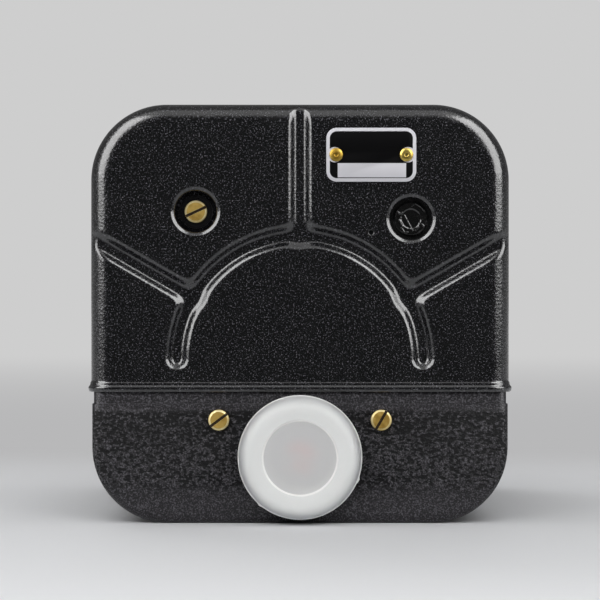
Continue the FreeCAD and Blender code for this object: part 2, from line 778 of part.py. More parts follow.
def trim_index():
    """Arm that turns about the drum's shaft: index tip in front, toothed sector below."""
    hub = tube(5.0, drum_shaft_radius + FIT, on_drum(index_x - 0.5), 2.6, X)
    arm = box(index_x, index_x + index_thick, drum_y - 30.9, drum_y - 4, window_z - 1.5, window_z + 1.5)
    tip = box(index_x, -drum_half - 0.8, drum_y - 30.9, drum_y - 29.5, window_z - 1.5, window_z + 1.5)
    reach = window_z - control_z - worm_radius - 0.4
    wedge = spun([(reach - 7, 0), (reach, 0), (reach, index_thick), (reach - 7, index_thick)], X,
                 V(index_x, drum_y, window_z))
    half = 18.0
    rim = reach + 10
    corners = [on_drum(index_x, rim, turn) for turn in (-90 - half, -90, half - 90)]
    keep = Part.Face(Part.makePolygon([on_drum(index_x)] + corners + [on_drum(index_x)]))
    keep = keep.extrude(X * index_thick)
    drop = box(index_x, index_x + index_thick, drum_y - 1.8, drum_y + 1.8, window_z - reach + 3, window_z - 4)
    return fuse([hub, arm, tip, wedge.common(keep), drop])


def trim_knob():
    """Fluted knob on its shaft, with the worm that faces the index's sector."""
    back = -knob_gap
    knob = rod(knob_radius, V(-control_x, back - knob_length, control_z), knob_length)
    front = [e for e in knob.Edges if abs(e.CenterOfMass.y - back + knob_length) < 1e-6 and e.Closed]
    knob = knob.makeChamfer(0.8, front)
    flutes = []
    for n in range(knob_flutes):
        angle = 2 * math.pi * n / knob_flutes
        spot = V(-control_x + (knob_radius + 0.5) * math.cos(angle), back - knob_length - 1,
                 control_z + (knob_radius + 0.5) * math.sin(angle))
        flutes.append(rod(1.3, spot, knob_length - 1))
    shaft = rod(control_shaft_radius, V(-control_x, back - 1, control_z), mid_bulkhead_y + 2.5 - back)
    thread = []
    for n in range(9):
        low = worm_start + 3 * n
        thread += [(control_shaft_radius + 0.5, low), (worm_radius, low + 1.0), (worm_radius, low + 1.6),
                   (control_shaft_radius + 0.5, low + 2.6)]
    profile = [(0, worm_start)] + thread + [(control_shaft_radius + 0.5, worm_end), (0, worm_end)]
    return fuse([cut(knob, flutes), shaft, spun(profile, Y, V(-control_x, 0, control_z))])


def control_bushes():
    """Flanged bushes for the two controls, pressed in the bezel."""
    inside = control_shaft_radius + FIT
    rim = control_bush_radius + 1.2
    profile = [(inside, -bush_flange), (rim, -bush_flange), (rim, 0), (control_bush_radius, 0),
               (control_bush_radius, bezel_thick), (inside, bezel_thick)]
    return [spun(profile, Y, V(side * control_x, 0, control_z)) for side in (-1, 1)]


def erect_button():
    """Push button on its rod, with the collar that the return spring bears on."""
    button = rod(button_radius, V(control_x, button_back - button_length, control_z), button_length)
    front = button_back - button_length
    rims = [e for e in button.Edges if e.Closed and abs(e.CenterOfMass.y - front) < 1e-6]
    button = button.makeFillet(1.5, rims)
    stem = rod(control_shaft_radius, V(control_x, button_back - 1, control_z), rod_end - button_back + 1)
    collar = rod(4.2, V(control_x, collar_y, control_z), collar_thick)
    return fuse([button, stem, collar])


def return_spring():
    """Coil spring between the button's collar and the bracket."""
    start = collar_y + collar_thick
    length = upright_y - start
    radius = control_shaft_radius + 1.2
    sides = 8
    count = spring_coils * sides
    path = []
    for n in range(count + 1):
        angle = 2 * math.pi * n / sides
        along = start + spring_wire + (length - 2 * spring_wire) * n / count
        path.append(V(control_x + radius * math.cos(angle), along, control_z + radius * math.sin(angle)))
    at = path[0]
    section = [at + V(spring_wire * math.cos(a), spring_wire * math.sin(a), 0)
               for a in [math.pi / 4 + math.pi * k / 2 for k in range(5)]]
    sweep = Part.Wire(Part.makePolygon(path).Edges).makePipeShell([Part.makePolygon(section)], True, False, 1)
    return Part.Solid(sweep) if not isinstance(sweep, Part.Solid) else sweep


def erect_switch():
    """Small switch behind the button's rod, standing on the bracket's strip."""
    start = rod_end + cage_travel + 1.1
    body = box(control_x - 6, control_x + 6, start, start + 13, bracket_top, control_z + 5)
    plunger = rod(1.4, V(control_x, start - 1, control_z), 1.5)
    return fuse([body, plunger])


def warning_flag():
    """Red warning flag on its arm, shown in the window's upper left."""
    hub = rod(3.2, V(0, flag_y, 0), flag_thick)
    arm = box(0, 20, flag_y, flag_y + flag_thick, -1.3, 1.3)
    blade = box(18, 35, flag_y, flag_y + flag_thick, -4.8, 4.8)
    corners = [e for e in blade.Edges if abs(e.tangentAt(e.FirstParameter).y) > 0.9]
    form = cut(fuse([hub, arm, blade.makeFillet(1.2, corners)]), [bore(1.0 + FIT, V(0, 0, 0))])
    form.rotate(V(0, 0, 0), Y, 14.5)
    form.translate(flag_axis)
    return form


def flag_actuator():
    """Small rotary actuator on the front plate, its spindle through the flag."""
    body = rod(6.0, flag_axis + Y * plate_back, flag_y - GAP - plate_back)
    spindle = rod(1.0, flag_axis + Y * (flag_y - GAP), GAP + flag_thick + 0.6)
    return fuse([body, spindle])


def bulkhead(front):
    """A rounded plate across the case with the gimbal bearing's bore and the tie rods' holes."""
    plate = slab(front, front + bulkhead_thick, bulkhead_half, bulkhead_low, bulkhead_top, plate_corner_r)
    return plate.cut([bore(bearing_radius, V(0, 0, window_z))])


def tie_places():
    """The tie rods' places."""
    return [(x, z) for x in (-tie_rod_x, tie_rod_x) for z in (-tie_rod_z, tie_rod_z)]


def mid_bulkhead():
    """Plate between the display and the gyro, with the pitch servo's saddle on its front."""
    saddle = box(-30, 0, servo_y, mid_bulkhead_y, servo_z - 5, servo_z + 5)
    tools = [bore(servo_radius, V(0, servo_y, servo_z), X),
             bore(control_shaft_radius + FIT, V(-control_x, 0, control_z))]
    tools += [bore(tie_rod_radius, V(x, 0, z)) for x, z in tie_places()]
    return cut(fuse([bulkhead(mid_bulkhead_y), saddle]), tools)


def rear_bulkhead():
    """Plate behind the gyro, with the posts that the rear screws enter."""
    reach = cup_floor - cover_wall - rear_back
    posts = [rod(boss_radius, on_rear(c, rear_back), reach) for c in (sealed_cup, open_cup)]
    posts += [rod(boss_radius, V(x, rear_back, base_screw_z), base_inside - rear_back) for x in base_screw_xs]
    spots = [on_rear(c, rear_back) for c in (sealed_cup, open_cup)]
    spots += [V(x, rear_back, base_screw_z) for x in base_screw_xs]
    holes = [rod(screw_shank_radius + FIT, at, body_length) for at in spots]
    return cut(fuse([bulkhead(rear_bulkhead_y)] + posts), holes)


def tie_rods():
    """Four rods that space the bulkheads from the front plate."""
    return [rod(tie_rod_radius, V(x, plate_back, z), rear_bulkhead_y - plate_back) for x, z in tie_places()]


def shaft_bearings():
    """Ball bearings of the gimbal's two shafts and the drum's shaft."""
    rings = [tube(bearing_radius, gimbal_shaft_radius + FIT, V(0, y, window_z), bulkhead_thick)
             for y in (mid_bulkhead_y, rear_bulkhead_y)]
    rings += [tube(pitch_bearing_radius, drum_shaft_radius + FIT, on_drum(x), side_plate_thick, X)
              for x in (side_plate_x, -side_plate_x - side_plate_thick)]
    return rings


def roll_synchro():
    """Stator of the roll pick-off, on the mid bulkhead round the gimbal's front shaft."""
    return tube(12.0, gimbal_shaft_radius + 1.8, V(0, mid_bulkhead_y - 9, window_z), 9)


def roll_gimbal():
    """Rectangular outer gimbal with its two shafts and the pick-off's rotor."""
    low = window_z - gimbal_depth / 2
    high = window_z + gimbal_depth / 2
    outer = box(-gimbal_half_x, gimbal_half_x, gimbal_y - gimbal_half_y, gimbal_y + gimbal_half_y, low, high)
    corners = [e for e in outer.Edges if abs(e.tangentAt(e.FirstParameter).z) > 0.9]
    inner_x = gimbal_half_x - gimbal_bar
    inner_y = gimbal_half_y - gimbal_bar
    hollow = box(-inner_x, inner_x, gimbal_y - inner_y, gimbal_y + inner_y, low - 1, high + 1)
    frame = outer.makeFillet(5, corners).cut(hollow)
    front_end = mid_bulkhead_y - 10
    front = rod(gimbal_shaft_radius, V(0, front_end, window_z), gimbal_y - gimbal_half_y + 1 - front_end)
    rotor = rod(gimbal_shaft_radius + 1.5, V(0, mid_bulkhead_y - 9, window_z), 8)
    rear_start = gimbal_y + gimbal_half_y - 1
    rear = rod(gimbal_shaft_radius, V(0, rear_start, window_z), rear_back + 11 - rear_start)
    return cut(fuse([frame, front, rotor, rear]), [bore(pitch_bearing_radius, V(0, gimbal_y, window_z), X)])


def pitch_bearings():
    """Ball bearings of the gyro housing's pivots, in the gimbal's side bars."""
    return [tube(pitch_bearing_radius, pitch_pin_radius + FIT, V(x, gimbal_y, window_z), gimbal_bar, X)
            for x in (-gimbal_half_x, gimbal_half_x - gimbal_bar)]


def pitch_torquer():
    """Erection torquer round the left pivot, on the gimbal's side."""
    start = V(-gimbal_half_x - torquer_length, gimbal_y, window_z)
    return cut(rod(torquer_radius, start, torquer_length, X), [rod(5.2, start + X, torquer_length, X)])


def pitch_synchro():
    """Pitch pick-off round the right pivot, on the gimbal's side."""
    start = V(gimbal_half_x, gimbal_y, window_z)
    return cut(rod(synchro_radius, start, torquer_length, X), [rod(5.2, start, torquer_length - 1, X)])


def slip_rings():
    """Slip rings on the gimbal's rear shaft."""
    start = rear_back + 1
    profile = [(gimbal_shaft_radius, 0)]
    for n in range(4):
        profile += [(7.0, 2 * n), (7.0, 2 * n + 1.3), (6.2, 2 * n + 1.3), (6.2, 2 * n + 2)]
    profile.append((gimbal_shaft_radius, 8))
    return spun(profile, Y, V(0, start, window_z))


def brush_block():
    """Insulating block on the rear bulkhead, with a brush for each slip ring."""
    block = box(11, 17, rear_back, rear_back + 10, window_z - 4, window_z + 4)
    fingers = []
    for n in range(4):
        near = rear_back + 1.3 + 2 * n
        fingers.append(box(7.0 + FIT, 12, near, near + 0.7, window_z - 0.4, window_z + 0.4))
    return fuse([block] + fingers)


def gyro_housing():
    """Lower part of the rotor's case, with its two pivots and the pick-off rotors on them."""
    inner = housing_radius - housing_wall
    profile = [(0, -housing_end), (housing_radius - 5, -housing_end), (housing_radius, 4 - housing_end),
               (housing_radius, housing_split), (inner, housing_split), (inner, 4.8 - housing_end),
               (inner - 4.2, housing_wall - housing_end), (0, housing_wall - housing_end)]
    shell = spun(profile, Z, gyro_centre)
    reach = gimbal_half_x + torquer_length - 1.5
    pins = [rod(pitch_pin_radius, gyro_centre + X * (inner + 0.5), reach - inner - 0.5, X),
            rod(pitch_pin_radius, gyro_centre - X * reach, reach - inner - 0.5, X)]
    near = gimbal_half_x + 1.5
    rotors = [rod(4.9, gyro_centre + X * near, reach - near, X),
              rod(4.9, gyro_centre - X * reach, reach - near, X)]
    return fuse([shell] + pins + rotors)


def gyro_housing_cap():
    """Upper part of the rotor's case, with the boss of the upper bearing."""
    inner = housing_radius - housing_wall
    profile = [(0, housing_end), (housing_radius - 5, housing_end), (housing_radius, housing_end - 4),
               (housing_radius, housing_split), (inner, housing_split), (inner, housing_end - 4.8),
               (inner - 4.2, housing_end - housing_wall), (6.5, housing_end - housing_wall), (6.5, boss_low),
               (rotor_bearing_radius, boss_low), (rotor_bearing_radius, housing_end - housing_wall),
               (0, housing_end - housing_wall)]
    return spun(profile, Z, gyro_centre)


def gyro_rotor():
    """Heavy bell-shaped rotor on its shaft."""
    low = -rotor_height / 2
    high = rotor_height / 2
    tip = housing_end - housing_wall - 0.2
    profile = [(0, -tip), (rotor_shaft_radius, -tip), (rotor_shaft_radius, high - 5), (10.5, high - 5),
               (10.5, low), (rotor_radius - 1.5, low), (rotor_radius, low + 1.5), (rotor_radius, high - 1.5),
               (rotor_radius - 1.5, high), (rotor_shaft_radius, high), (rotor_shaft_radius, tip), (0, tip)]
    return spun(profile, Z, gyro_centre)


def gyro_stator():
    """Laminated stator inside the rotor, on a foot that stands on the case's floor."""
    floor = housing_wall - housing_end
    inside = rotor_shaft_radius + 0.8
    profile = [(rotor_bearing_radius, floor), (stator_foot, floor), (stator_foot, -9.5),
               (stator_radius, -9.5), (stator_radius, 5.0), (inside, 5.0), (inside, floor + 2.5),
               (rotor_bearing_radius, floor + 2.5)]
    return spun(profile, Z, gyro_centre)


def rotor_bearings():
    """Ball bearings of the rotor's shaft."""
    floor = housing_wall - housing_end
    return [tube(rotor_bearing_radius, rotor_shaft_radius + FIT, gyro_centre + Z * z, 2.5, Z)
            for z in (floor, boss_low)]


def levelling_switch():
    """Pendulous levelling switch under the gyro's case."""
    profile = [(0, -29), (9, -29), (11.5, -27.5), (11.5, -25), (3, -25), (3, -housing_end), (0, -housing_end)]
    return spun(profile, Z, gyro_centre)


def amplifier_board():
    """Amplifier board on four feet under the gyro, with its transformer and two modules."""
    start = mid_back + 3
    end = rear_bulkhead_y - 5
    board = box(-38, 38, start, end, board_low, board_low + board_thick)
    feet = [rod(2.5, V(x, y, bulkhead_low), 4.5, Z) for x in (-34, 34) for y in (start + 5, end - 5)]
    top = board_low + board_thick
    blocks = [box(-34, -16, start + 12, start + 36, top - 0.2, top + 9),
              box(-30, -14, end - 30, end - 12, top - 0.2, top + 6)]
    cans = [rod(4.5, V(24, y, top - 0.2), 9.2, Z) for y in (start + 16, start + 28, start + 40)]
    cans += [rod(2.5, V(10, y, top - 0.2), 6.2, Z) for y in (start + 16, start + 26, start + 36)]
    strip = box(6, 34, end - 16, end - 8, top - 0.2, top + 4)
    return fuse([board, strip] + feet + blocks + cans)


def main():
    """Builds every node and writes it."""
    os.makedirs("parts", exist_ok=True)
    screws = cover_screws()
    washers = cup_washers()
    save("upper_cover", upper_cover())
    save("base_housing", base_housing())
    save("front_bezel", front_bezel())
    save("data_plate", data_plate())
    save("plate_rivets", *plate_rivets())
    save("cover_screws", *screws)
    save("cup_washers", *washers)
    save("seal_mastic", seal_mastic([screws[0], washers[0]]))
    save("base_rear_screws", *base_rear_screws())
    save("connector_shell", connector_shell())
    save("connector_insert", connector_insert())
    save("connector_pins", *connector_pins())
    save("connector_cap", connector_cap())
    save("bezel_screws", *bezel_fixings())
    save("glass_ring", glass_ring())
    save("cover_glass", cover_glass())
    save("glass_gasket", glass_gasket())
    save("dial_mask", dial_mask())
    save("slip_tube", slip_tube())
    save("slip_tube_rest", slip_tube_rest())
    save("slip_ball", slip_ball())
    save("front_plate", front_plate())
    save("ring_bearing", ring_bearing())
    save("roll_ring", roll_ring())
    save("aircraft_silhouette", aircraft_silhouette())
    save("roll_pinion", roll_pinion())
    save("roll_servo_motor", roll_servo_motor())
    save("pitch_drum", pitch_drum())
    save("drum_shaft", drum_shaft())
    save("drum_gear", drum_gear())
    save("drum_side_plates", *drum_side_plates())
    save("pitch_pinion", pitch_pinion())
    save("pitch_servo_motor", pitch_servo_motor())
    save("trim_index", trim_index())
    save("trim_knob", trim_knob())
    save("control_bushes", *control_bushes())
    save("erect_button", erect_button())
    save("return_spring", return_spring())
    save("erect_switch", erect_switch())
    save("warning_flag", warning_flag())
    save("flag_actuator", flag_actuator())
    save("mid_bulkhead", mid_bulkhead())
    save("rear_bulkhead", rear_bulkhead())
    save("tie_rods", *tie_rods())
    save("shaft_bearings", *shaft_bearings())
    save("roll_synchro", roll_synchro())
    save("roll_gimbal", roll_gimbal())
    save("pitch_bearings", *pitch_bearings())
    save("pitch_torquer", pitch_torquer())
    save("pitch_synchro", pitch_synchro())
    save("slip_rings", slip_rings())
    save("brush_block", brush_block())
    save("gyro_housing", gyro_housing())
    save("gyro_housing_cap", gyro_housing_cap())
    save("gyro_rotor", gyro_rotor())
    save("gyro_stator", gyro_stator())
    save("rotor_bearings", *rotor_bearings())
    save("levelling_switch", levelling_switch())
    save("amplifier_board", amplifier_board())


if __name__ == "__main__":
    main()
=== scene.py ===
"""Looks of a gyro horizon for an instrument panel, seen from the rear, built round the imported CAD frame."""

import json
import logging
import math
from dataclasses import dataclass, field
from typing import Any, Callable

import bmesh
import bpy
import numpy as np
from bpy.types import Material, Node, NodeSocket, NodeTree, Object
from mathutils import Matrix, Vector, noise

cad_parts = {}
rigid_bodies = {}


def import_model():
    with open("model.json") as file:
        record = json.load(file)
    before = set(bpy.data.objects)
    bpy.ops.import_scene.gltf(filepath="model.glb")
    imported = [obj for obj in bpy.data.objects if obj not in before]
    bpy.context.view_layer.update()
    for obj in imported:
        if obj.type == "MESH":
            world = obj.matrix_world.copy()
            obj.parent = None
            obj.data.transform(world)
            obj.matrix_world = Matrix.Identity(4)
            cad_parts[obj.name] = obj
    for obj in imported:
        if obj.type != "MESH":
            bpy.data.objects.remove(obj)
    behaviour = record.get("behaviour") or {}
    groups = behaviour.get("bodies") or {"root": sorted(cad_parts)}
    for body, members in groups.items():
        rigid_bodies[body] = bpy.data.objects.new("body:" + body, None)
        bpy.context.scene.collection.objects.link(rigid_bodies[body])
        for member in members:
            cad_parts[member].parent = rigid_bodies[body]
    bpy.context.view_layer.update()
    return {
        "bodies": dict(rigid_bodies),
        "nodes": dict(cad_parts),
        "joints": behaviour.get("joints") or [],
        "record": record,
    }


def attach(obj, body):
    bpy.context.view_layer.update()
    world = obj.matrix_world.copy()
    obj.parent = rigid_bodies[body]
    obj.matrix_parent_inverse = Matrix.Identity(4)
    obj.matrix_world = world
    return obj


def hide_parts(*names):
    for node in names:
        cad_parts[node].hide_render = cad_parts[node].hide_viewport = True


LOG = logging.getLogger("gyro_horizon")
MM = 0.001
SAME_POINT = 2e-6
SLIVER = 1e-7
QUARTER = math.pi / 2


def linear(code: str, alpha: float = 1.0) -> tuple[float, float, float, float]:
    """Turns an sRGB hex colour to linear light.

    Args:
        code: Six hex digits.
        alpha: Opacity to append.

    Returns:
        Linear red, green, blue and alpha.
    """
    parts = [int(code[n:n + 2], 16) / 255 for n in (0, 2, 4)]
    light = [c / 12.92 if c <= 0.04045 else ((c + 0.055) / 1.055) ** 2.4 for c in parts]
    return light[0], light[1], light[2], alpha


def per_mm(size: float) -> float:
    """Noise scale, per metre, that gives grains of a size in millimetres."""
    return 1000.0 / size


class Wiring:
    """A node tree that is being wired, of a material or of the world."""

    def __init__(self, tree: NodeTree) -> None:
        """Empties the tree.

        Args:
            tree: Node tree to wire.
        """
        self.tree = tree
        tree.nodes.clear()

    def add(self, kind: str, values: dict | None = None, links: dict | None = None, **options: Any) -> Node:
        """Adds a shader node with its settings and links.

        Args:
            kind: Node type without the ShaderNode prefix.
            values: Socket defaults by socket name or index.
            links: Source sockets by the new node's socket name or index.
            **options: Attributes of the node.

        Returns:
            The new node.
        """
        made = self.tree.nodes.new("ShaderNode" + kind)
        for name, value in options.items():
            setattr(made, name, value)
        for name, value in (values or {}).items():
            made.inputs[name].default_value = value
        for name, socket in (links or {}).items():
            self.tree.links.new(socket, made.inputs[name])
        return made

    def blended(self, amount: Any, low: Any, high: Any) -> NodeSocket:
        """Mixes two colours.

        Args:
            amount: Socket or number from 0, all low, to 1, all high.
            low: Colour or socket.
            high: Colour or socket.

        Returns:
            The mixed colour's socket.
        """
        values: dict = {}
        links: dict = {}
        for slot, item in ((0, amount), (6, low), (7, high)):
            (links if isinstance(item, NodeSocket) else values)[slot] = item
        return self.add("Mix", values, links, data_type="RGBA").outputs[2]

    def ramp(self, source: NodeSocket, start: float, end: float, low: float = 0.0,
             high: float = 1.0) -> NodeSocket:
        """Maps a value smoothly from one range to another, clamped.

        Args:
            source: Value socket.
            start: Input that gives low.
            end: Input that gives high.
            low: First output.
            high: Last output.

        Returns:
            The mapped value's socket.
        """
        values = {1: start, 2: end, 3: low, 4: high}
        return self.add("MapRange", values, {0: source}, interpolation_type="SMOOTHSTEP").outputs[0]

    def sums(self, operation: str, *items: Any) -> NodeSocket:
        """Adds a math node over sockets and numbers.

        Args:
            operation: Math node operation.
            *items: Up to three sockets or numbers.

        Returns:
            The result's socket.
        """
        values = {n: item for n, item in enumerate(items) if not isinstance(item, NodeSocket)}
        links = {n: item for n, item in enumerate(items) if isinstance(item, NodeSocket)}
        return self.add("Math", values, links, operation=operation).outputs[0]

    def most(self, first: NodeSocket, *others: NodeSocket) -> NodeSocket:
        """Highest of some values."""
        for other in others:
            first = self.sums("MAXIMUM", first, other)
        return first

    def span(self, across: NodeSocket, up: NodeSocket) -> NodeSocket:
        """Distance over two lengths at right angles."""
        squares = [self.sums("MULTIPLY", way, way) for way in (across, up)]
        return self.sums("SQRT", self.sums("ADD", *squares))

    def past(self, length: NodeSocket, limit: float, blur: float = 0.05) -> NodeSocket:
        """Share from 0 to 1 as a length passes a limit.

        Args:
            length: Length in metres.
            limit: Limit in millimetres.
            blur: Half the width of the soft step in millimetres; below zero the share falls.

        Returns:
            The share's socket.
        """
        return self.ramp(length, (limit - blur) * MM, (limit + blur) * MM)

    def within(self, length: NodeSocket, low: float, high: float) -> NodeSocket:
        """Share that is 1 while a length in metres lies between two limits in millimetres."""
        return self.sums("MULTIPLY", self.past(length, low), self.past(length, high, -0.05))


class Paint(Wiring):
    """A material that is being made: a principled shader over the object's own coordinates."""

    def __init__(self, name: str) -> None:
        """Makes a material with an empty principled shader.

        Args:
            name: Material name.
        """
        self.material: Material = bpy.data.materials.new(name)
        self.material.use_nodes = True
        super().__init__(self.material.node_tree)
        self.shader = self.add("BsdfPrincipled")
        self.output = self.add("OutputMaterial", links={"Surface": self.shader.outputs[0]})
        self.place: NodeSocket = self.add("TexCoord").outputs["Object"]

    def feed(self, inputs: dict[str, Any]) -> None:
        """Sets the shader's inputs.

        Args:
            inputs: Socket to link, or number to set, by input name.
        """
        for name, item in inputs.items():
            if isinstance(item, NodeSocket):
                self.tree.links.new(item, self.shader.inputs[name])
            else:
                self.shader.inputs[name].default_value = item

    def parted(self, x: float = 0.0, z: float = 0.0) -> tuple[NodeSocket, NodeSocket, NodeSocket]:
        """Splits the place into its lengths along the axes.

        Args:
            x: Where X starts, in millimetres.
            z: Where Z starts, in millimetres.

        Returns:
            X, Y and Z sockets.
        """
        sides = self.add("SeparateXYZ", links={0: self.place}).outputs
        return self.sums("SUBTRACT", sides[0], x * MM), sides[1], self.sums("SUBTRACT", sides[2], z * MM)

    def grains(self, size: float, detail: float = 2.0,
               stretch: tuple[float, float, float] = (1, 1, 1)) -> NodeSocket:
        """Noise of a grain size.

        Args:
            size: Grain in millimetres.
            detail: Octaves of finer noise.
            stretch: Scale along each axis.

        Returns:
            The noise value's socket.
        """
        at = self.add("Mapping", {"Scale": stretch}, {"Vector": self.place}).outputs[0]
        return self.add("TexNoise", {"Scale": per_mm(size), "Detail": detail}, {"Vector": at}).outputs[0]

    def relief(self, height: NodeSocket, depth: float, strength: float = 1.0,
               after: Node | None = None) -> Node:
        """Gives the shader a bumped surface.

        Args:
            height: Height from 0 to 1.
            depth: Height of the relief in millimetres.
            strength: Share of the relief that shows.
            after: Earlier bump to build on.

        Returns:
            The bump node.
        """
        links = {"Height": height}
        if after is not None:
            links["Normal"] = after.outputs[0]
        bump = self.add("Bump", {"Strength": strength, "Distance": depth * MM}, links)
        self.tree.links.new(bump.outputs[0], self.shader.inputs["Normal"])
        return bump


@dataclass(frozen=True)
class HammerLacquer:
    """Stoved hammer lacquer on the drawn cover: near black, glossy, with fine pits and silver flakes."""

    name: str = "hammer_lacquer_black"
    body: str = "09090b"
    flake: str = "5b5a5f"
    grain: float = 0.42
    pit: float = 0.8

    def build(self) -> Material:
        """Makes the material."""
        on = Paint(self.name)
        fine = on.grains(self.grain)
        cells = on.add("TexVoronoi", {"Scale": per_mm(self.pit), "Randomness": 1.0},
                       {"Vector": on.place}).outputs[0]
        sparkle = on.ramp(fine, 0.56, 0.72)
        on.feed({
            "Base Color": on.blended(sparkle, linear(self.body), linear(self.flake)),
            "Roughness": on.ramp(on.grains(6.0), 0.3, 0.7, 0.16, 0.24),
            "Specular IOR Level": 0.8, "Coat Weight": 0.6, "Coat Roughness": 0.14})
        pits = on.relief(cells, 0.06, 0.7)
        on.relief(fine, 0.04, 0.7, pits)
        return on.material


@dataclass(frozen=True)
class WrinkleEnamel:
    """Wrinkle enamel on the cast base: satin black with coarse folds that fade to fine grain, and near-black
    painted shade in the valleys between the folds.
    """

    name: str = "wrinkle_enamel_black"
    # Near-black painted shade for the valleys between the folds.
    fold_shade: str = "030304"
    body: str = "171618"
    light: str = "504e53"
    fold: float = 0.85
    grain: float = 0.42
    top: float = -28.2
    bottom: float = -50.0

    def build(self) -> Material:
        """Makes the material."""
        on = Paint(self.name)
        fine = on.grains(self.grain)
        folds = on.grains(self.fold, 1.0, (0.85, 1.0, 1.15))
        height = on.parted()[2]
        fuller = on.ramp(height, (self.top - 3) * MM, (self.bottom + 4) * MM, -0.04, 0.03)
        creased = on.ramp(on.sums("ADD", folds, fuller), 0.45, 0.56)
        band = on.sums("MULTIPLY", on.ramp(height, self.top * MM, (self.top - 2) * MM),
                       on.ramp(height, (self.bottom - 8) * MM, self.bottom * MM))
        # Painted shade: the valleys between the folds are coloured near black.
        fold_shade_share = on.sums("MULTIPLY", band, on.sums("SUBTRACT", 1.0, creased))
        clear_of_fold_shade = on.sums("SUBTRACT", 1.0, fold_shade_share)
        skin = on.blended(on.ramp(fine, 0.45, 0.7), linear(self.body), linear(self.light))
        on.feed({
            "Base Color": on.blended(clear_of_fold_shade, linear(self.fold_shade), skin),
            "Roughness": on.ramp(clear_of_fold_shade, 0.0, 1.0, 0.8, 0.42),
            "Specular IOR Level": 0.32})
        coarse = on.relief(on.sums("MULTIPLY", folds, band), 0.6, 0.8)
        on.relief(fine, 0.04, 0.8, coarse)
        return on.material


@dataclass(frozen=True)
class Enamel:
    """Sprayed enamel or moulded plastic: one colour with fine orange peel and slight wear."""

    name: str
    body: str
    roughness: float = 0.45
    grain: float = 0.6
    depth: float = 0.02
    patch_shade: float = 0.82

    def build(self) -> Material:
        """Makes the material."""
        on = Paint(self.name)
        cloud = on.grains(9.0, 3.0)
        dark = tuple(c * self.patch_shade for c in linear(self.body)[:3]) + (1.0,)
        on.feed({
            "Base Color": on.blended(on.ramp(cloud, 0.35, 0.65), dark, linear(self.body)),
            "Roughness": on.ramp(cloud, 0.3, 0.7, self.roughness - 0.05, self.roughness + 0.06)})
        on.relief(on.grains(self.grain), self.depth, 0.7)
        return on.material


@dataclass(frozen=True)
class Metal:
    """Bare metal: turned, rolled or cast, with tool marks along one axis and dull patches."""

    name: str
    body: str
    tarnish: str
    roughness: float = 0.32
    mark: float = 0.25
    stretch: tuple[float, float, float] = (1.0, 1.0, 6.0)
    depth: float = 0.008
    metallic: float = 1.0

    def build(self) -> Material:
        """Makes the material."""
        on = Paint(self.name)
        patch = on.grains(4.0, 4.0)
        on.feed({
            "Base Color": on.blended(on.ramp(patch, 0.42, 0.68), linear(self.body), linear(self.tarnish)),
            "Metallic": self.metallic,
            "Roughness": on.ramp(patch, 0.3, 0.75, self.roughness - 0.07, self.roughness + 0.12)})
        on.relief(on.grains(self.mark, 2.0, self.stretch), self.depth, 0.6)
        return on.material


@dataclass(frozen=True)
class CapPolythene:
    """Injection-moulded natural polythene: milky and waxy. Painted shade makes the recessed centre, of little
    thickness, grey where the dark cavity behind shows through, and darkens the rolled skirt; painted
    highlight draws bright lines at the centre's step and on the rib.
    """

    name: str = "natural_polythene"
    rim: str = "d3d4d3"
    # Painted shade: grey of the dark cavity showing through the recessed middle.
    centre: str = "b9b9b9"
    tint: str = "c0b4b3"
    # Painted highlight: bright lines at the middle's step and on the skirt's rib.
    edge: str = "dededc"
    # Painted shade: the rolled outer skirt is darker.
    side: str = "c8c9ca"
    middle: tuple[float, float] = (0.0, -43.1)
    blush: tuple[float, float] = (7.5, 1.5)
    floor_radius: float = 11.0
    shaded_skirt_from: tuple[float, float] = (16.2, 18.2)
    highlight_line_width: float = 0.36
    rib_radius: float = 18.4

    def build(self) -> Material:
        """Makes the material."""
        on = Paint(self.name)
        across, _, up = on.parted(*self.middle)
        out = on.span(across, up)
        blush = on.sums("MULTIPLY", on.ramp(out, self.blush[0] * MM, self.blush[1] * MM),
                        on.ramp(on.grains(9.0, 1.0), 0.25, 0.65))
        # Painted shade: the middle is grey where the dark cavity behind shows through; the blush adds a faint
        # tint.
        shaded_middle = on.blended(blush, linear(self.centre), linear(self.tint))
        # Painted shade: the outer skirt darkens as it rolls over.
        ring = on.blended(on.ramp(out, self.shaded_skirt_from[0] * MM, self.shaded_skirt_from[1] * MM),
                          linear(self.rim), linear(self.side))
        raised = on.ramp(out, (self.floor_radius - 0.2) * MM, (self.floor_radius + 0.1) * MM)
        brink = on.sums("SUBTRACT", out, (self.floor_radius + 0.15) * MM)
        # Painted highlight: a bright line at the middle's step, and another on the skirt's rib.
        line = on.ramp(on.sums("ABSOLUTE", brink), self.highlight_line_width * MM, 0.5 * self.highlight_line_width * MM)
        rib = on.ramp(out, (self.rib_radius - 0.1) * MM, (self.rib_radius + 0.05) * MM)
        on.feed({
            "Base Color": on.blended(on.most(line, rib), on.blended(raised, shaded_middle, ring),
                                     linear(self.edge)),
            "Roughness": 0.52, "Specular IOR Level": 0.4, "IOR": 1.51, "Subsurface Weight": 0.9,
            "Subsurface Radius": (1.0, 0.97, 0.94), "Subsurface Scale": 3.5 * MM})
        on.shader.subsurface_method = "BURLEY"
        on.relief(on.grains(3.0), 0.02, 0.5)
        return on.material


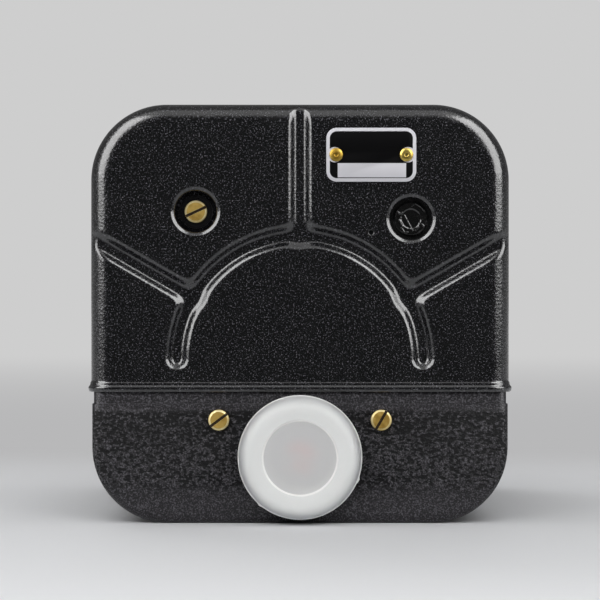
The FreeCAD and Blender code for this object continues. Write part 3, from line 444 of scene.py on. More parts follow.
@dataclass(frozen=True)
class EtchedPlate:
    """Etched and blacked aluminium plate: bare pale border, bare ring at each rivet and a bare strip."""

    name: str = "etched_aluminium_plate"
    ink: str = "050506"
    bare: str = "cfced3"
    middle: tuple[float, float] = (-21.55, 48.0)
    half: tuple[float, float] = (13.6, 8.15)
    corner: float = 3.2
    border: float = 1.05
    rivet: float = 11.1
    ring: float = 2.3
    strip: tuple[float, float, float, float] = (-32.05, -11.4, 41.15, 45.45)

    def build(self) -> Material:
        """Makes the material."""
        on = Paint(self.name)
        right, _, above = on.parted(*self.middle)
        across, up = (on.sums("ABSOLUTE", way) for way in (right, above))
        beyond = [on.sums("MAXIMUM", on.sums("SUBTRACT", way, (half - self.corner) * MM), 0.0)
                  for way, half in zip((across, up), self.half)]
        border = on.past(on.span(*beyond), self.corner - self.border)
        away = on.span(on.sums("SUBTRACT", across, self.rivet * MM), up)
        ring = on.past(away, self.ring, -0.06)
        low_x, high_x, low_z, high_z = self.strip
        x, _, z = on.parted()
        strip = on.sums("MULTIPLY", on.within(x, low_x, high_x), on.within(z, low_z, high_z))
        shows = on.most(border, ring, strip)
        on.feed({
            "Base Color": on.blended(shows, linear(self.ink), linear(self.bare)),
            "Metallic": on.ramp(shows, 0.0, 1.0, 0.0, 0.35),
            "Specular IOR Level": 0.2, "Roughness": 0.38})
        rough = on.sums("MULTIPLY", on.grains(0.3), 0.15)
        on.relief(on.sums("ADD", shows, rough), 0.05, 0.7)
        return on.material


@dataclass(frozen=True)
class DrumPaint:
    """Printed pitch drum: pale sky above, brown ground below, a white horizon and pitch bars."""

    name: str = "printed_pitch_drum"
    sky: str = "9fb4bd"
    ground: str = "3a2a20"
    line: str = "eeece4"
    ink: str = "121212"
    axis: tuple[float, float] = (53.5, 4.0)
    bars: tuple[tuple[float, float, float, float], ...] = ((2.5, 0.42, 0.3, 3.5), (5.0, 0.5, 0.36, 8.5),
                                                           (15.0, 0.6, 0.45, 15.5))

    def build(self) -> Material:
        """Makes the material."""
        on = Paint(self.name)
        right, back, up = on.parted(0.0, self.axis[1])
        ahead = on.sums("SUBTRACT", self.axis[0] * MM, back)
        angle = on.sums("DEGREES", on.sums("ARCTAN2", up, ahead))
        across = on.sums("ABSOLUTE", right)
        above = on.ramp(angle, -0.1, 0.1)
        field_colour = on.blended(above, linear(self.ground), linear(self.sky))
        bars = [on.sums("MULTIPLY", on.ramp(on.sums("PINGPONG", angle, every), outer, inner),
                        on.past(across, half, -0.1)) for every, outer, inner, half in self.bars]
        ink = on.blended(above, linear(self.line), linear(self.ink))
        marked = on.blended(on.most(*bars), field_colour, ink)
        horizon = on.ramp(on.sums("ABSOLUTE", angle), 0.9, 0.7)
        on.feed({"Base Color": on.blended(horizon, marked, linear(self.line)), "Roughness": 0.62})
        on.relief(on.grains(0.4), 0.01, 0.5)
        return on.material


@dataclass(frozen=True)
class MaskPaint:
    """Matt black dial mask with a printed bank scale: white ticks from upright, four of them longer."""

    name: str = "dial_mask_paint"
    body: str = "161617"
    ink: str = "e6e4da"
    centre: float = 4.0
    inner: float = 34.0
    width: float = 0.9
    ticks: tuple[tuple[float, float], ...] = ((0.0, 7.0), (10.0, 3.5), (20.0, 3.5), (30.0, 7.0),
                                              (45.0, 3.5), (60.0, 7.0), (90.0, 7.0))

    def build(self) -> Material:
        """Makes the material."""
        on = Paint(self.name)
        right, _, up = on.parted(0.0, self.centre)
        turn = on.sums("ABSOLUTE", on.sums("DEGREES", on.sums("ARCTAN2", right, up)))
        out = on.span(right, up)
        inked = []
        for angle, length in self.ticks:
            off = on.sums("RADIANS", on.sums("ABSOLUTE", on.sums("SUBTRACT", turn, angle)))
            across = on.past(on.sums("MULTIPLY", out, off), self.width / 2, -0.05)
            along = on.within(out, self.inner, self.inner + length)
            inked.append(on.sums("MULTIPLY", across, along))
        on.feed({"Base Color": on.blended(on.most(*inked), linear(self.body), linear(self.ink)),
                 "Roughness": 0.7})
        on.relief(on.grains(0.35), 0.008, 0.6)
        return on.material


@dataclass(frozen=True)
class ClearGlass:
    """Polished flat or drawn glass, faintly green at its edges."""

    name: str
    tone: str = "f2f7f5"
    roughness: float = 0.02

    def build(self) -> Material:
        """Makes the material."""
        on = Paint(self.name)
        smear = on.ramp(on.grains(18.0, 4.0), 0.45, 0.8, self.roughness, self.roughness + 0.05)
        on.feed({"Base Color": linear(self.tone), "Transmission Weight": 1.0, "IOR": 1.5,
                 "Roughness": smear})
        return on.material


@dataclass(frozen=True)
class SealPitch:
    """Poured sealing pitch: black and glossy, pressed and scratched while soft."""

    name: str = "sealing_pitch"
    body: str = "050505"

    def build(self) -> Material:
        """Makes the material."""
        on = Paint(self.name)
        on.feed({"Base Color": linear(self.body), "Roughness": 0.2, "Coat Weight": 1.0,
                 "Coat Roughness": 0.08})
        lumps = on.relief(on.grains(2.2), 0.12, 0.8)
        on.relief(on.grains(0.6, 2.0, (1.0, 1.0, 2.0)), 0.03, 0.8, lumps)
        return on.material


@dataclass(frozen=True)
class CopperWinding:
    """Varnished copper winding: fine turns along an axis, with painted shade in the valleys."""

    name: str = "copper_winding"
    wire: str = "b0622e"
    valley_shade: str = "3b1c0c"
    pitch: float = 0.8

    def build(self) -> Material:
        """Makes the material."""
        on = Paint(self.name)
        half = self.pitch / 2 * MM
        rise = on.ramp(on.sums("PINGPONG", on.parted()[2], half), 0.0, half)
        # Painted shade: the valleys between the turns are darkened.
        on.feed({"Base Color": on.blended(rise, linear(self.valley_shade), linear(self.wire)),
                 "Metallic": 0.7, "Roughness": 0.3})
        on.relief(rise, 0.25, 0.8)
        return on.material


@dataclass(frozen=True)
class BoardLaminate:
    """Glass-cloth laminate board with dull tinned tracks under green lacquer."""

    name: str = "glass_cloth_laminate"
    body: str = "1f4a33"
    track: str = "4f7a58"
    pitch: float = 9.0

    def build(self) -> Material:
        """Makes the material."""
        on = Paint(self.name)
        black, white = (0, 0, 0, 1), (1, 1, 1, 1)
        brick = on.add("TexBrick", {"Scale": per_mm(self.pitch), "Mortar Size": 0.06, "Color1": black,
                                    "Color2": black, "Mortar": white}, {"Vector": on.place})
        tracks = on.blended(brick.outputs["Color"], linear(self.body), linear(self.track))
        on.feed({"Base Color": tracks, "Roughness": 0.4})
        on.relief(on.grains(0.5), 0.02, 0.6)
        return on.material


BLACK_ENAMEL = Enamel("bezel_enamel_black", "1d1d1f", 0.42, 0.7, 0.03)
AGED_BRASS = Metal("aged_turned_brass", "bfa055", "92742f", 0.42, metallic=0.6)
# Lighter brass for the screws' rims: wear, with painted highlight.
WORN_SHEEN_BRASS = Metal("brass_worn_with_painted_highlight", "e9dba8", "cdb673", 0.45, metallic=0.5)
BRIGHT_BRASS = Metal("bright_brass", "dcc168", "b4923c", 0.4)
PLATED_STEEL = Metal("zinc_plated_steel", "8e8f90", "6d6e70", 0.36)
BLACKED_STEEL = Enamel("blacked_steel", "0c0c0e", 0.3, 0.5, 0.01)
OLIVE_SHELL = Metal("passivated_shell", "8b8a72", "6c6b57", 0.4)
GOLD_PINS = Metal("gold_plated_pins", "d8b25a", "b08f42", 0.22)
INSERT_RUBBER = Enamel("moulded_insert_rubber", "2d2d30", 0.7, 0.5, 0.02)
SEAL_RUBBER = Enamel("seal_rubber_black", "121213", 0.8, 0.5, 0.03)
MASK_PAINT = MaskPaint()
ALUMINIUM = Metal("machined_aluminium", "b4b5b7", "97989b", 0.34)
BLACK_ANODISE = Enamel("black_anodised_aluminium", "19191b", 0.4, 0.3, 0.01)
GROUND_STEEL = Metal("ground_steel", "8a8b90", "6f7075", 0.26)
ORANGE_PAINT = Enamel("orange_dial_paint", "e2701f", 0.6, 0.35, 0.01)
YELLOW_PAINT = Enamel("yellow_dial_paint", "e3b625", 0.6, 0.35, 0.01)
RED_PAINT = Enamel("red_dial_paint", "c8261a", 0.6, 0.35, 0.01)
RED_MOULDING = Enamel("red_moulding", "a3211a", 0.34, 0.8, 0.01)
BLACK_MOULDING = Enamel("black_phenolic_moulding", "141416", 0.33, 0.8, 0.015)
BROWN_MOULDING = Enamel("brown_phenolic_moulding", "33261d", 0.42, 0.8, 0.015)
IVORY_PAINT = Enamel("ivory_backing_paint", "dcdacb", 0.6, 0.4, 0.01)
POLISHED_BLACK = Enamel("polished_black_ball", "0c0c0d", 0.12, 0.8, 0.002)


def alone(piece: Object) -> None:
    """Deselects everything, then selects one object and makes it active."""
    bpy.ops.object.select_all(action="DESELECT")
    piece.select_set(True)
    bpy.context.view_layer.objects.active = piece


def settle(piece: Object) -> None:
    """Moves an object's place into its mesh."""
    alone(piece)
    bpy.ops.object.transform_apply(location=True, rotation=True, scale=True)


def finish_with(piece: Object, material: Material) -> None:
    """Gives an object one material."""
    piece.data.materials.clear()
    piece.data.materials.append(material)


def smooth(piece: Object, angle: float = 35.0) -> None:
    """Shades an object smooth, but sharp at edges steeper than an angle in degrees."""
    alone(piece)
    bpy.ops.object.shade_smooth_by_angle(angle=math.radians(angle))


def apply(piece: Object, kind: str, **settings: Any) -> None:
    """Adds a modifier with its settings and applies it.

    Args:
        piece: Object to change.
        kind: Modifier type.
        **settings: Attributes of the modifier.
    """
    alone(piece)
    modifier = piece.modifiers.new(kind.lower(), kind)
    for name, value in settings.items():
        setattr(modifier, name, value)
    bpy.ops.object.modifier_apply(modifier=modifier.name)


def turned(name: str, profile: list[tuple[float, float]], centre: tuple[float, float, float],
           steps: int = 96) -> Object:
    """Turns a profile about a line along Y, as on a lathe.

    Args:
        name: Object name.
        profile: Radius and height in millimetres, in order.
        centre: Point on the line where height is 0, in millimetres.
        steps: Steps round the turn.

    Returns:
        The piece, its place in its mesh.
    """
    bpy.ops.object.select_all(action="DESELECT")
    bpy.ops.mesh.primitive_circle_add(vertices=len(profile), radius=MM)
    piece = bpy.context.active_object
    piece.name = name
    for vertex, (radius, height) in zip(piece.data.vertices, profile):
        vertex.co = (radius * MM, 0, height * MM)
    bpy.ops.object.mode_set(mode="EDIT")
    bpy.ops.mesh.select_all(action="SELECT")
    bpy.ops.mesh.spin(steps=steps, angle=2 * math.pi, center=(0, 0, 0), axis=(0, 0, 1), use_auto_merge=True)
    bpy.ops.mesh.select_all(action="SELECT")
    bpy.ops.mesh.remove_doubles(threshold=SAME_POINT)
    bpy.ops.mesh.dissolve_degenerate(threshold=SLIVER)
    bpy.ops.mesh.normals_make_consistent(inside=False)
    bpy.ops.object.mode_set(mode="OBJECT")
    piece.rotation_euler = (-QUARTER, 0, 0)
    piece.location = Vector(centre) * MM
    settle(piece)
    smooth(piece)
    return piece


def from_solid(frame: dict, node: str, name: str, round_mm: float) -> Object:
    """Copies a CAD solid's mesh, merges it and breaks its sharp edges.

    Args:
        frame: The loaded frame.
        node: CAD node to copy.
        name: Object name.
        round_mm: Width of the broken edge.

    Returns:
        The copy, which still has to ride on a body.
    """
    mesh = frame["nodes"][node].data.copy()
    piece = bpy.data.objects.new(name, mesh)
    bpy.context.scene.collection.objects.link(piece)
    alone(piece)
    bpy.ops.object.mode_set(mode="EDIT")
    bpy.ops.mesh.select_all(action="SELECT")
    if mesh.has_custom_normals:
        bpy.ops.mesh.customdata_custom_splitnormals_clear()
    bpy.ops.mesh.remove_doubles(threshold=SAME_POINT)
    bpy.ops.mesh.tris_convert_to_quads(face_threshold=math.radians(1), shape_threshold=math.radians(180))
    bpy.ops.mesh.select_all(action="SELECT")
    bpy.ops.mesh.dissolve_limited(angle_limit=math.radians(0.5))
    bpy.ops.object.mode_set(mode="OBJECT")
    if round_mm:
        apply(piece, "BEVEL", width=round_mm * MM, segments=2, limit_method="ANGLE",
              angle_limit=math.radians(40), use_clamp_overlap=True)
    smooth(piece)
    return piece


def joined(pieces: list[Object], name: str) -> Object:
    """Joins pieces into the first one and names it."""
    alone(pieces[0])
    for piece in pieces:
        piece.select_set(True)
    bpy.ops.object.join()
    pieces[0].name = name
    return pieces[0]


def place_selected(piece: Object, rule: Callable[[Vector], Vector]) -> None:
    """Moves the selected points of a mesh in edit mode.

    Args:
        piece: Object in edit mode.
        rule: Gives each point's new place from its old one.
    """
    sheet = bmesh.from_edit_mesh(piece.data)
    for vertex in sheet.verts:
        if vertex.select:
            vertex.co = rule(vertex.co)
    bmesh.update_edit_mesh(piece.data)


def dress(piece: Object, body: str, material: Material | None, slot: str,
          *nodes: str) -> Object:
    """Gives a piece its finish and the body it rides on.

    Args:
        piece: The finished piece.
        body: CAD body that carries it.
        material: Its finish, or None where it has its finishes already.
        slot: Material slot of the record; not used.
        *nodes: CAD nodes that it stands for.

    Returns:
        The same piece.
    """
    if material is not None:
        finish_with(piece, material)
    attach(piece, body)
    if nodes:
        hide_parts(*nodes)
    LOG.info("%s: %d faces on %s", piece.name, len(piece.data.polygons), body)
    return piece


@dataclass
class RearCover:
    """Drawn cover: domed edges, pressed arch and spokes, two screw cups, a bleed hole and a rolled bead."""

    half: float = 63.5
    rear: float = 205.0
    front: float = 14.0
    wall_rings: tuple[float, float] = (168.5, 110.0)
    edge: float = 6.5
    corner: float = 16.5
    split: float = -23.7
    bead_top: float = -20.4
    bead_rows: int = 34
    bead_profile: tuple[tuple[float, float], ...] = (
        (-23.7, 0.5), (-23.6, 0.62), (-23.4, 0.74), (-23.1, 0.83), (-22.8, 0.87), (-22.5, 0.87),
        (-22.35, 0.84), (-22.2, 0.77), (-21.75, 0.41), (-21.6, 0.34), (-21.45, 0.31), (-21.15, 0.3),
        (-21.05, 0.27), (-20.7, 0.06), (-20.55, 0.01), (-20.4, 0.0))
    wall: float = 1.5
    spacing: float = 0.62
    arch_centre: tuple[float, float] = (0.0, -13.7)
    arch_radius: float = 37.2
    spokes: tuple[float, ...] = (30.0, 90.0, 150.0)
    groove_floor: float = 0.9
    groove_lip: float = 3.8
    groove_depth: float = 2.2
    groove_blend: float = 1.1
    cups: tuple[tuple[float, float], ...] = ((-33.6, 28.7), (31.6, 30.9))
    cup_radius: float = 6.35
    cup_floor: float = 199.0
    cup_lip: float = 1.1
    lip_turns: tuple[tuple[float, float], ...] = (
        (1.4, 0.0), (1.12, 0.01), (1.0, 0.05), (0.9, 0.11), (0.32, 0.52), (0.2, 0.62), (0.09, 0.78),
        (0.02, 1.0))
    cup_taper: float = 0.45
    cup_fillet: float = 0.7
    shank: float = 1.65
    bleed: tuple[float, float] = (-21.5, 24.5)
    bleed_radius: float = 0.7
    finish: HammerLacquer = field(default_factory=HammerLacquer)

    def groove(self, across: np.ndarray, up: np.ndarray) -> np.ndarray:
        """Depth of the pressed grooves.

        Args:
            across: X of the points.
            up: Z of the points.

        Returns:
            Depth under the flat rear face at each point.
        """
        dx = across - self.arch_centre[0]
        dz = up - self.arch_centre[1]
        out = np.hypot(dx, dz)
        above = np.abs(out - self.arch_radius)
        below = np.hypot(np.abs(dx) - self.arch_radius, dz)
        near = [np.where(dz > 0, above, below)]
        for spoke in self.spokes:
            way = math.radians(spoke)
            along = dx * math.cos(way) + dz * math.sin(way)
            aside = np.abs(-dx * math.sin(way) + dz * math.cos(way))
            end = np.hypot(aside, along - self.arch_radius)
            near.append(np.where(along > self.arch_radius, aside, end))
        blend = self.groove_blend
        nearest = -blend * np.log(sum(np.exp(-n / blend) for n in near))
        share = np.clip((self.groove_lip - nearest) / (self.groove_lip - self.groove_floor), 0, 1)
        return self.groove_depth * share * share * (3 - 2 * share)

    def bead(self, up: np.ndarray) -> np.ndarray:
        """Height of the rolled hem over the wall at each Z, by its two steps and its round lower edge."""
        turns = np.array(self.bead_profile)
        return np.interp(up, turns[:, 0], turns[:, 1])

    def surface(self, across: np.ndarray, up: np.ndarray) -> np.ndarray:
        """Places grid points on the rear face and its domed edges.

        Args:
            across: X of the grid point, up to a quarter turn past the core outline.
            up: Z of the grid point, likewise.

        Returns:
            Points in millimetres, one row each.
        """
        core = self.half - self.edge
        straight = core - self.corner
        vx = np.maximum(np.abs(across) - straight, 0)
        vz = np.maximum(up - straight, 0)
        length = np.maximum(np.hypot(vx, vz), 1e-9)
        scale = np.maximum(vx, vz) / length
        vx, vz, reach = vx * scale, vz * scale, length * scale
        over = np.maximum(reach - self.corner, 0)
        reach = np.maximum(reach, 1e-9)
        nx, nz = vx / reach * np.sign(across), vz / reach
        angle = over / self.edge
        on_core = np.minimum(reach, self.corner)
        past_core = on_core + self.edge * np.sin(angle)
        x = np.where(np.abs(across) > straight, np.sign(across) * straight, across) + nx * past_core
        z = np.where(up > straight, straight, up) + nz * past_core
        drop = self.edge * (1 - np.cos(angle))
        sunk = self.groove(x, z) * (z > self.bead_top)
        drop = (drop ** 4 + sunk ** 4) ** 0.25
        proud = self.bead(z)
        y = self.rear - drop + np.cos(angle) * proud
        return np.column_stack([x + nx * np.sin(angle) * proud, y, z])

    def sink(self, piece: Object, centre: tuple[float, float], profile: list[tuple[float, float]]) -> None:
        """Opens the sheet at a point and draws the rim inwards through a profile.

        Args:
            piece: The sheet.
            centre: X and Z of the middle.
            profile: Radius and Y of each ring, the first one the rim in the sheet.
        """

        def out(point: Vector) -> float:
            """Distance from the middle in millimetres."""
            return math.hypot(point.x / MM - centre[0], point.z / MM - centre[1])

        def on_ring(point: Vector, radius: float, depth: float) -> Vector:
            """Place in the same direction from the middle, on a ring of the profile."""
            way = Vector((point.x / MM - centre[0], point.z / MM - centre[1])).normalized()
            return Vector((centre[0] + way.x * radius, depth, centre[1] + way.y * radius)) * MM

        alone(piece)
        bpy.ops.object.mode_set(mode="EDIT")
        bpy.ops.mesh.select_mode(type="FACE")
        bpy.ops.mesh.select_all(action="DESELECT")
        sheet = bmesh.from_edit_mesh(piece.data)
        for face in sheet.faces:
            middle = face.calc_center_median()
            face.select = out(middle) < profile[0][0] and middle.y > (self.rear - 1) * MM
        bmesh.update_edit_mesh(piece.data)
        bpy.ops.mesh.delete(type="FACE")
        bpy.ops.mesh.select_mode(type="EDGE")
        sheet = bmesh.from_edit_mesh(piece.data)
        for edge in sheet.edges:
            edge.select = edge.is_boundary and all(out(v.co) < profile[0][0] + 2 for v in edge.verts)
        bmesh.update_edit_mesh(piece.data)
        for turn, (radius, depth) in enumerate(profile):
            if turn:
                bpy.ops.mesh.extrude_edges_move()
            place_selected(piece, lambda point: on_ring(point, radius, depth))
        bpy.ops.object.mode_set(mode="OBJECT")

    def cup(self) -> list[tuple[float, float]]:
        """Profile of a screw cup: a sloped lip, a tapered wall and a rounded floor with the screw's hole."""
        r, floor, fillet = self.cup_radius, self.cup_floor, self.cup_fillet
        under_lip = self.rear - self.cup_lip
        lip = [(r + self.cup_lip * out, self.rear - self.cup_lip * down) for out, down in self.lip_turns]
        foot = r - self.cup_taper
        wall = [(r - self.cup_taper * share, under_lip - 0.4 - share * (under_lip - 1.1 - floor))
                for share in (0.0, 0.35, 0.7, 1.0)]
        bend = [(foot - fillet * (1 - math.cos(t)), floor + fillet * (1 - math.sin(t)))
                for t in np.linspace(0.3, QUARTER, 6)]
        return lip + wall + bend + [(self.shank + 0.2, floor), (self.shank, floor - 0.1)]

    def build(self) -> Object:
        """Shapes the sheet, draws in its cups and gives it its wall."""
        limit = self.half - self.edge + self.edge * QUARTER
        columns = round(2 * limit / self.spacing)
        rows = np.linspace(self.bead_top, limit, round((limit - self.bead_top) / self.spacing) + 1)
        rows = np.concatenate([np.linspace(self.split, self.bead_top, self.bead_rows), rows[1:]])
        bpy.ops.object.select_all(action="DESELECT")
        bpy.ops.mesh.primitive_grid_add(x_subdivisions=columns, y_subdivisions=len(rows) - 1, size=1)
        piece = bpy.context.active_object
        piece.name = "rear_cover"
        at = np.empty(len(piece.data.vertices) * 3)
        piece.data.vertices.foreach_get("co", at)
        at = at.reshape(-1, 3)
        across = at[:, 0] * 2 * limit
        up = rows[np.rint((at[:, 1] + 0.5) * (len(rows) - 1)).astype(int)]
        piece.data.vertices.foreach_set("co", (self.surface(across, up) * MM).ravel())
        piece.data.update()
        for centre in self.cups:
            self.sink(piece, centre, self.cup())
        self.sink(piece, self.bleed, [(self.bleed_radius + out, self.rear - down) for out, down in
                                      ((0.45, 0.0), (0.2, 0.05), (0.04, 0.2), (0.0, 0.45))])
        alone(piece)
        bpy.ops.object.mode_set(mode="EDIT")
        bpy.ops.mesh.select_mode(type="EDGE")
        bpy.ops.mesh.select_all(action="DESELECT")
        sheet = bmesh.from_edit_mesh(piece.data)
        low = (self.rear - self.edge + 0.01) * MM
        for edge in sheet.edges:
            at_bend = all(v.co.y < low for v in edge.verts)
            at_foot = all(abs(v.co.z - self.split * MM) < 1e-6 for v in edge.verts)
            edge.select = edge.is_boundary and at_bend and not at_foot
        bmesh.update_edit_mesh(piece.data)
        for depth in (*self.wall_rings, self.front):
            bpy.ops.mesh.extrude_edges_move()
            place_selected(piece, lambda point: Vector((point.x, depth * MM, point.z)))
        bpy.ops.mesh.select_all(action="SELECT")
        bpy.ops.mesh.normals_make_consistent(inside=False)
        bpy.ops.object.mode_set(mode="OBJECT")
        flat = (self.rear - 0.5) * MM
        outside = [p for p in piece.data.polygons
                   if p.center.z > 0 and p.center.y > flat and abs(p.center.x) < 0.01]
        if sum(p.normal.y for p in outside) < 0:
            alone(piece)
            bpy.ops.object.mode_set(mode="EDIT")
            bpy.ops.mesh.flip_normals()
            bpy.ops.object.mode_set(mode="OBJECT")
        apply(piece, "SOLIDIFY", thickness=self.wall * MM, offset=-1.0)
        smooth(piece, 40)
        return dress(piece, "case", self.finish.build(), "case_black", "upper_cover")


@dataclass
class ReceptacleCap:
    """Push-on moulded cap: a skirt, a low round ring and a flat middle that sits a little lower."""

    centre: tuple[float, float, float] = (0.0, 204.4, -43.1)
    radius: float = 18.7
    crest: float = 15.2
    roll: tuple[float, float] = (3.6, 6.0)
    middle_radius: float = 11.0
    middle: float = 13.6
    flash: float = 0.32
    burrs: tuple[tuple[float, float], ...] = ((-158.8, 0.45), (-49.9, 0.3))
    burr_angle: float = 0.035
    wall: float = 1.3
    skirt_end: float = 0.8
    collar: float = 12.15
    collar_end: float = 6.0
    seat: float = 11.0
    seat_radius: float = 13.8
    finish: CapPolythene = field(default_factory=CapPolythene)

    def outside(self) -> list[tuple[float, float]]:
        """Profile of the visible side, from the skirt's free end to the middle."""
        across, up = self.roll
        body = self.radius - self.flash
        widest = self.crest - up
        rolled = [(body - across + across * math.cos(t), widest + up * math.sin(t))
                  for t in np.linspace(0.04, QUARTER, 19)]
        inner = self.middle_radius
        slope = [(inner + out, self.crest - down) for out, down in
                 ((1.8, 0.3), (0.75, 0.42), (0.5, 0.48), (0.3, 0.62), (0.2, 0.85))]
        step = [(inner + out, self.middle + up_by) for out, up_by in
                ((0.12, 0.3), (0.02, 0.1), (-0.15, 0.0), (-3.0, -0.03))]
        ring = [(body - across - 1.2, self.crest - 0.08)] + slope + step + [(0.0, self.middle - 0.05)]
        rib = [(body, widest - 0.3), (self.radius - 0.06, widest - 0.25), (self.radius, widest - 0.15),
               (self.radius - 0.06, widest - 0.03), (body + 0.05, widest)]
        return [(body - 0.25, self.skirt_end), (body, self.skirt_end + 0.25)] + rib + rolled + ring

    def inside(self) -> list[tuple[float, float]]:
        """Profile of the hidden side, from the axis to the skirt's free end."""
        skirt = self.radius - self.flash - self.wall
        under = self.middle - self.wall
        collar_bore = self.collar - self.wall
        below = self.crest - self.wall
        return [(0.0, under), (collar_bore - 0.4, under), (collar_bore, under - 0.4),
                (collar_bore, self.collar_end), (self.collar, self.collar_end), (self.collar, self.seat),
                (self.seat_radius, self.seat), (skirt - 2.6, below - 0.4), (skirt - 1.3, below - 1.2),
                (skirt - 0.6, below - 2.4), (skirt, self.crest - 6.0), (skirt, self.skirt_end)]

    def build(self) -> Object:
        """Turns the cap from its two profiles."""
        piece = turned("receptacle_cap", self.outside() + self.inside(), self.centre, 160)
        x, _, z = self.centre
        for vertex in piece.data.vertices:
            right, up = x - vertex.co.x / MM, vertex.co.z / MM - z
            if math.hypot(right, up) > self.radius - 0.1:
                for angle, reach in self.burrs:
                    off = math.remainder(math.atan2(up, -right) - math.radians(angle), 2 * math.pi)
                    grow = 1 + reach / self.radius * math.exp(-(off / self.burr_angle) ** 2)
                    vertex.co.x = vertex.co.x * grow
                    vertex.co.z = z * MM + (vertex.co.z - z * MM) * grow
        smooth(piece, 50)
        return dress(piece, "connector_cap_body", self.finish.build(), "cap_white", "connector_cap")


@dataclass(frozen=True)
class Screw:
    """Sizes of one slotted cheese-head screw, in millimetres and degrees."""

    seat: tuple[float, float, float]
    radius: float
    length: float
    turn: float
    height: float = 1.8
    shank: float = 1.5


@dataclass
class SlottedScrews:
    """Screws of one CAD node: turned heads, edges worn bright with painted highlight, and sawn slots darkened
    with painted shade.
    """

    node: str
    name: str
    slot: str
    finish: Metal
    screws: tuple[Screw, ...]
    slot_width: float = 0.85
    slot_depth: float = 0.7
    broken_edge: float = 0.13
    worn_sheen_depth: float = 0.5
    worn_sheen_tilt: tuple[float, float] = (0.45, 0.97)
    slot_shade_from: float = 0.16
    unshaded_rim: float = 0.75
    rim: tuple[tuple[float, float], ...] = ((0.0, 0.55), (0.05, 0.47), (0.45, 0.12), (0.52, 0.06),
                                            (0.6, 0.015), (0.68, 0.0))
    # Lighter brass for rim faces: wear, with painted highlight.
    worn_with_sheen: Metal = WORN_SHEEN_BRASS
    # Dark brown painted shade for the sawn slots.
    slot_shade: Enamel = Enamel("slot_painted_shade", "24180b", 0.75, 0.4, 0.01)

    def one(self, plan: Screw, number: int) -> Object:
        """Turns and slots one screw.

        Args:
            plan: The screw's sizes.
            number: Its number in the set.

        Returns:
            The screw, with its slot's painted shade on the second finish and its worn rim with painted
            highlight on the third.
        """
        rolled = [(plan.radius - out, plan.height - down) for out, down in self.rim]
        shank = [(0.0, -plan.length), (plan.shank - 0.3, -plan.length), (plan.shank, 0.3 - plan.length),
                 (plan.shank, 0.0), (plan.radius - 0.08, 0.0), (plan.radius, 0.08)]
        profile = shank + rolled + [(0.0, plan.height)]
        piece = turned(f"{self.name}_{number}", profile, plan.seat, 72)
        x, y, z = plan.seat
        top = y + plan.height
        blade = Vector((3 * plan.radius, 2 * self.slot_depth, self.slot_width)) * MM
        bpy.ops.mesh.primitive_cube_add(size=1, location=Vector((x, top, z)) * MM,
                                        rotation=(0, math.radians(plan.turn), 0), scale=blade)
        saw = bpy.context.active_object
        settle(saw)
        apply(piece, "BOOLEAN", operation="DIFFERENCE", object=saw, solver="EXACT")
        bpy.data.objects.remove(saw, do_unlink=True)
        apply(piece, "BEVEL", width=self.broken_edge * MM, segments=1, limit_method="ANGLE",
              angle_limit=math.radians(55))
        for finish in (self.finish, self.slot_shade, self.worn_with_sheen):
            piece.data.materials.append(bpy.data.materials.get(finish.name) or finish.build())
        for face in piece.data.polygons:
            low = top - face.center.y / MM
            near = math.hypot(face.center.x / MM - x, face.center.z / MM - z)
            # Worn rim with painted highlight: lighter brass on the upper faces that slope towards the camera.
            if low < self.worn_sheen_depth and self.worn_sheen_tilt[0] < face.normal.y < self.worn_sheen_tilt[1]:
                face.material_index = 2
            # Painted shade: the slot's walls and floor go dark brown.
            elif self.slot_shade_from < low < self.slot_depth + 0.1 and near < plan.radius - self.unshaded_rim:
                face.material_index = 1
        smooth(piece, 32)
        return piece

    def build(self) -> Object:
        """Makes the screws and joins them, each with its three finishes."""
        made = joined([self.one(plan, number) for number, plan in enumerate(self.screws)], self.name)
        return dress(made, "case", None, self.slot, self.node)


@dataclass
class PlateRivets:
    """Two round-headed brass rivets, each with a punched dent in its middle."""

    seats: tuple[tuple[float, float], ...] = ((-32.15, 48.0), (-10.95, 48.0))
    seat_y: float = 205.6
    radius: float = 2.05
    height: float = 1.1

    def build(self, slot: str) -> Object:
        """Turns both rivets and joins them."""
        r, h = self.radius, self.height
        dome = [(r * math.cos(t) ** 0.9, h * (0.25 + 0.75 * math.sin(t))) for t in np.linspace(0, 1.15, 9)]
        dent = [(out * r, tall * h) for out, tall in
                ((0.34, 0.95), (0.29, 0.88), (0.24, 0.76), (0.12, 0.7), (0.0, 0.69))]
        profile = [(0.0, -2.1), (1.0, -2.1), (1.0, 0.0), (r, 0.0)] + dome + dent
        made = joined([turned(f"rivet_{n}", profile, (x, self.seat_y, z), 64)
                       for n, (x, z) in enumerate(self.seats)], "plate_rivets.piece")
        smooth(made, 50)
        return dress(made, "case", BRIGHT_BRASS.build(), slot, "plate_rivets")


@dataclass
class CupWashers:
    """Two blacked washers on the cups' floors, each with a rolled rim."""

    seats: tuple[tuple[float, float], ...]
    seat_y: float = 199.0
    radius: float = 5.05
    bore: float = 1.58
    thick: float = 1.2
    roll: float = 0.3

    def build(self, slot: str) -> Object:
        """Turns both washers and joins them."""
        rim = [(self.radius - self.roll * (1 - math.cos(t)), self.thick - self.roll * (1 - math.sin(t)))
               for t in np.linspace(0, QUARTER, 6)]
        face = [(self.radius - 0.75, self.thick - 0.02), (self.radius - 0.9, self.thick - 0.2),
                (self.bore, self.thick - 0.2)]
        profile = [(self.bore, 0.0), (self.radius, 0.0)] + rim + face
        made = joined([turned(f"washer_{n}", profile, (x, self.seat_y, z))
                       for n, (x, z) in enumerate(self.seats)], "cup_washers.piece")
        smooth(made, 40)
        return dress(made, "case", BLACKED_STEEL.build(), slot, "cup_washers")


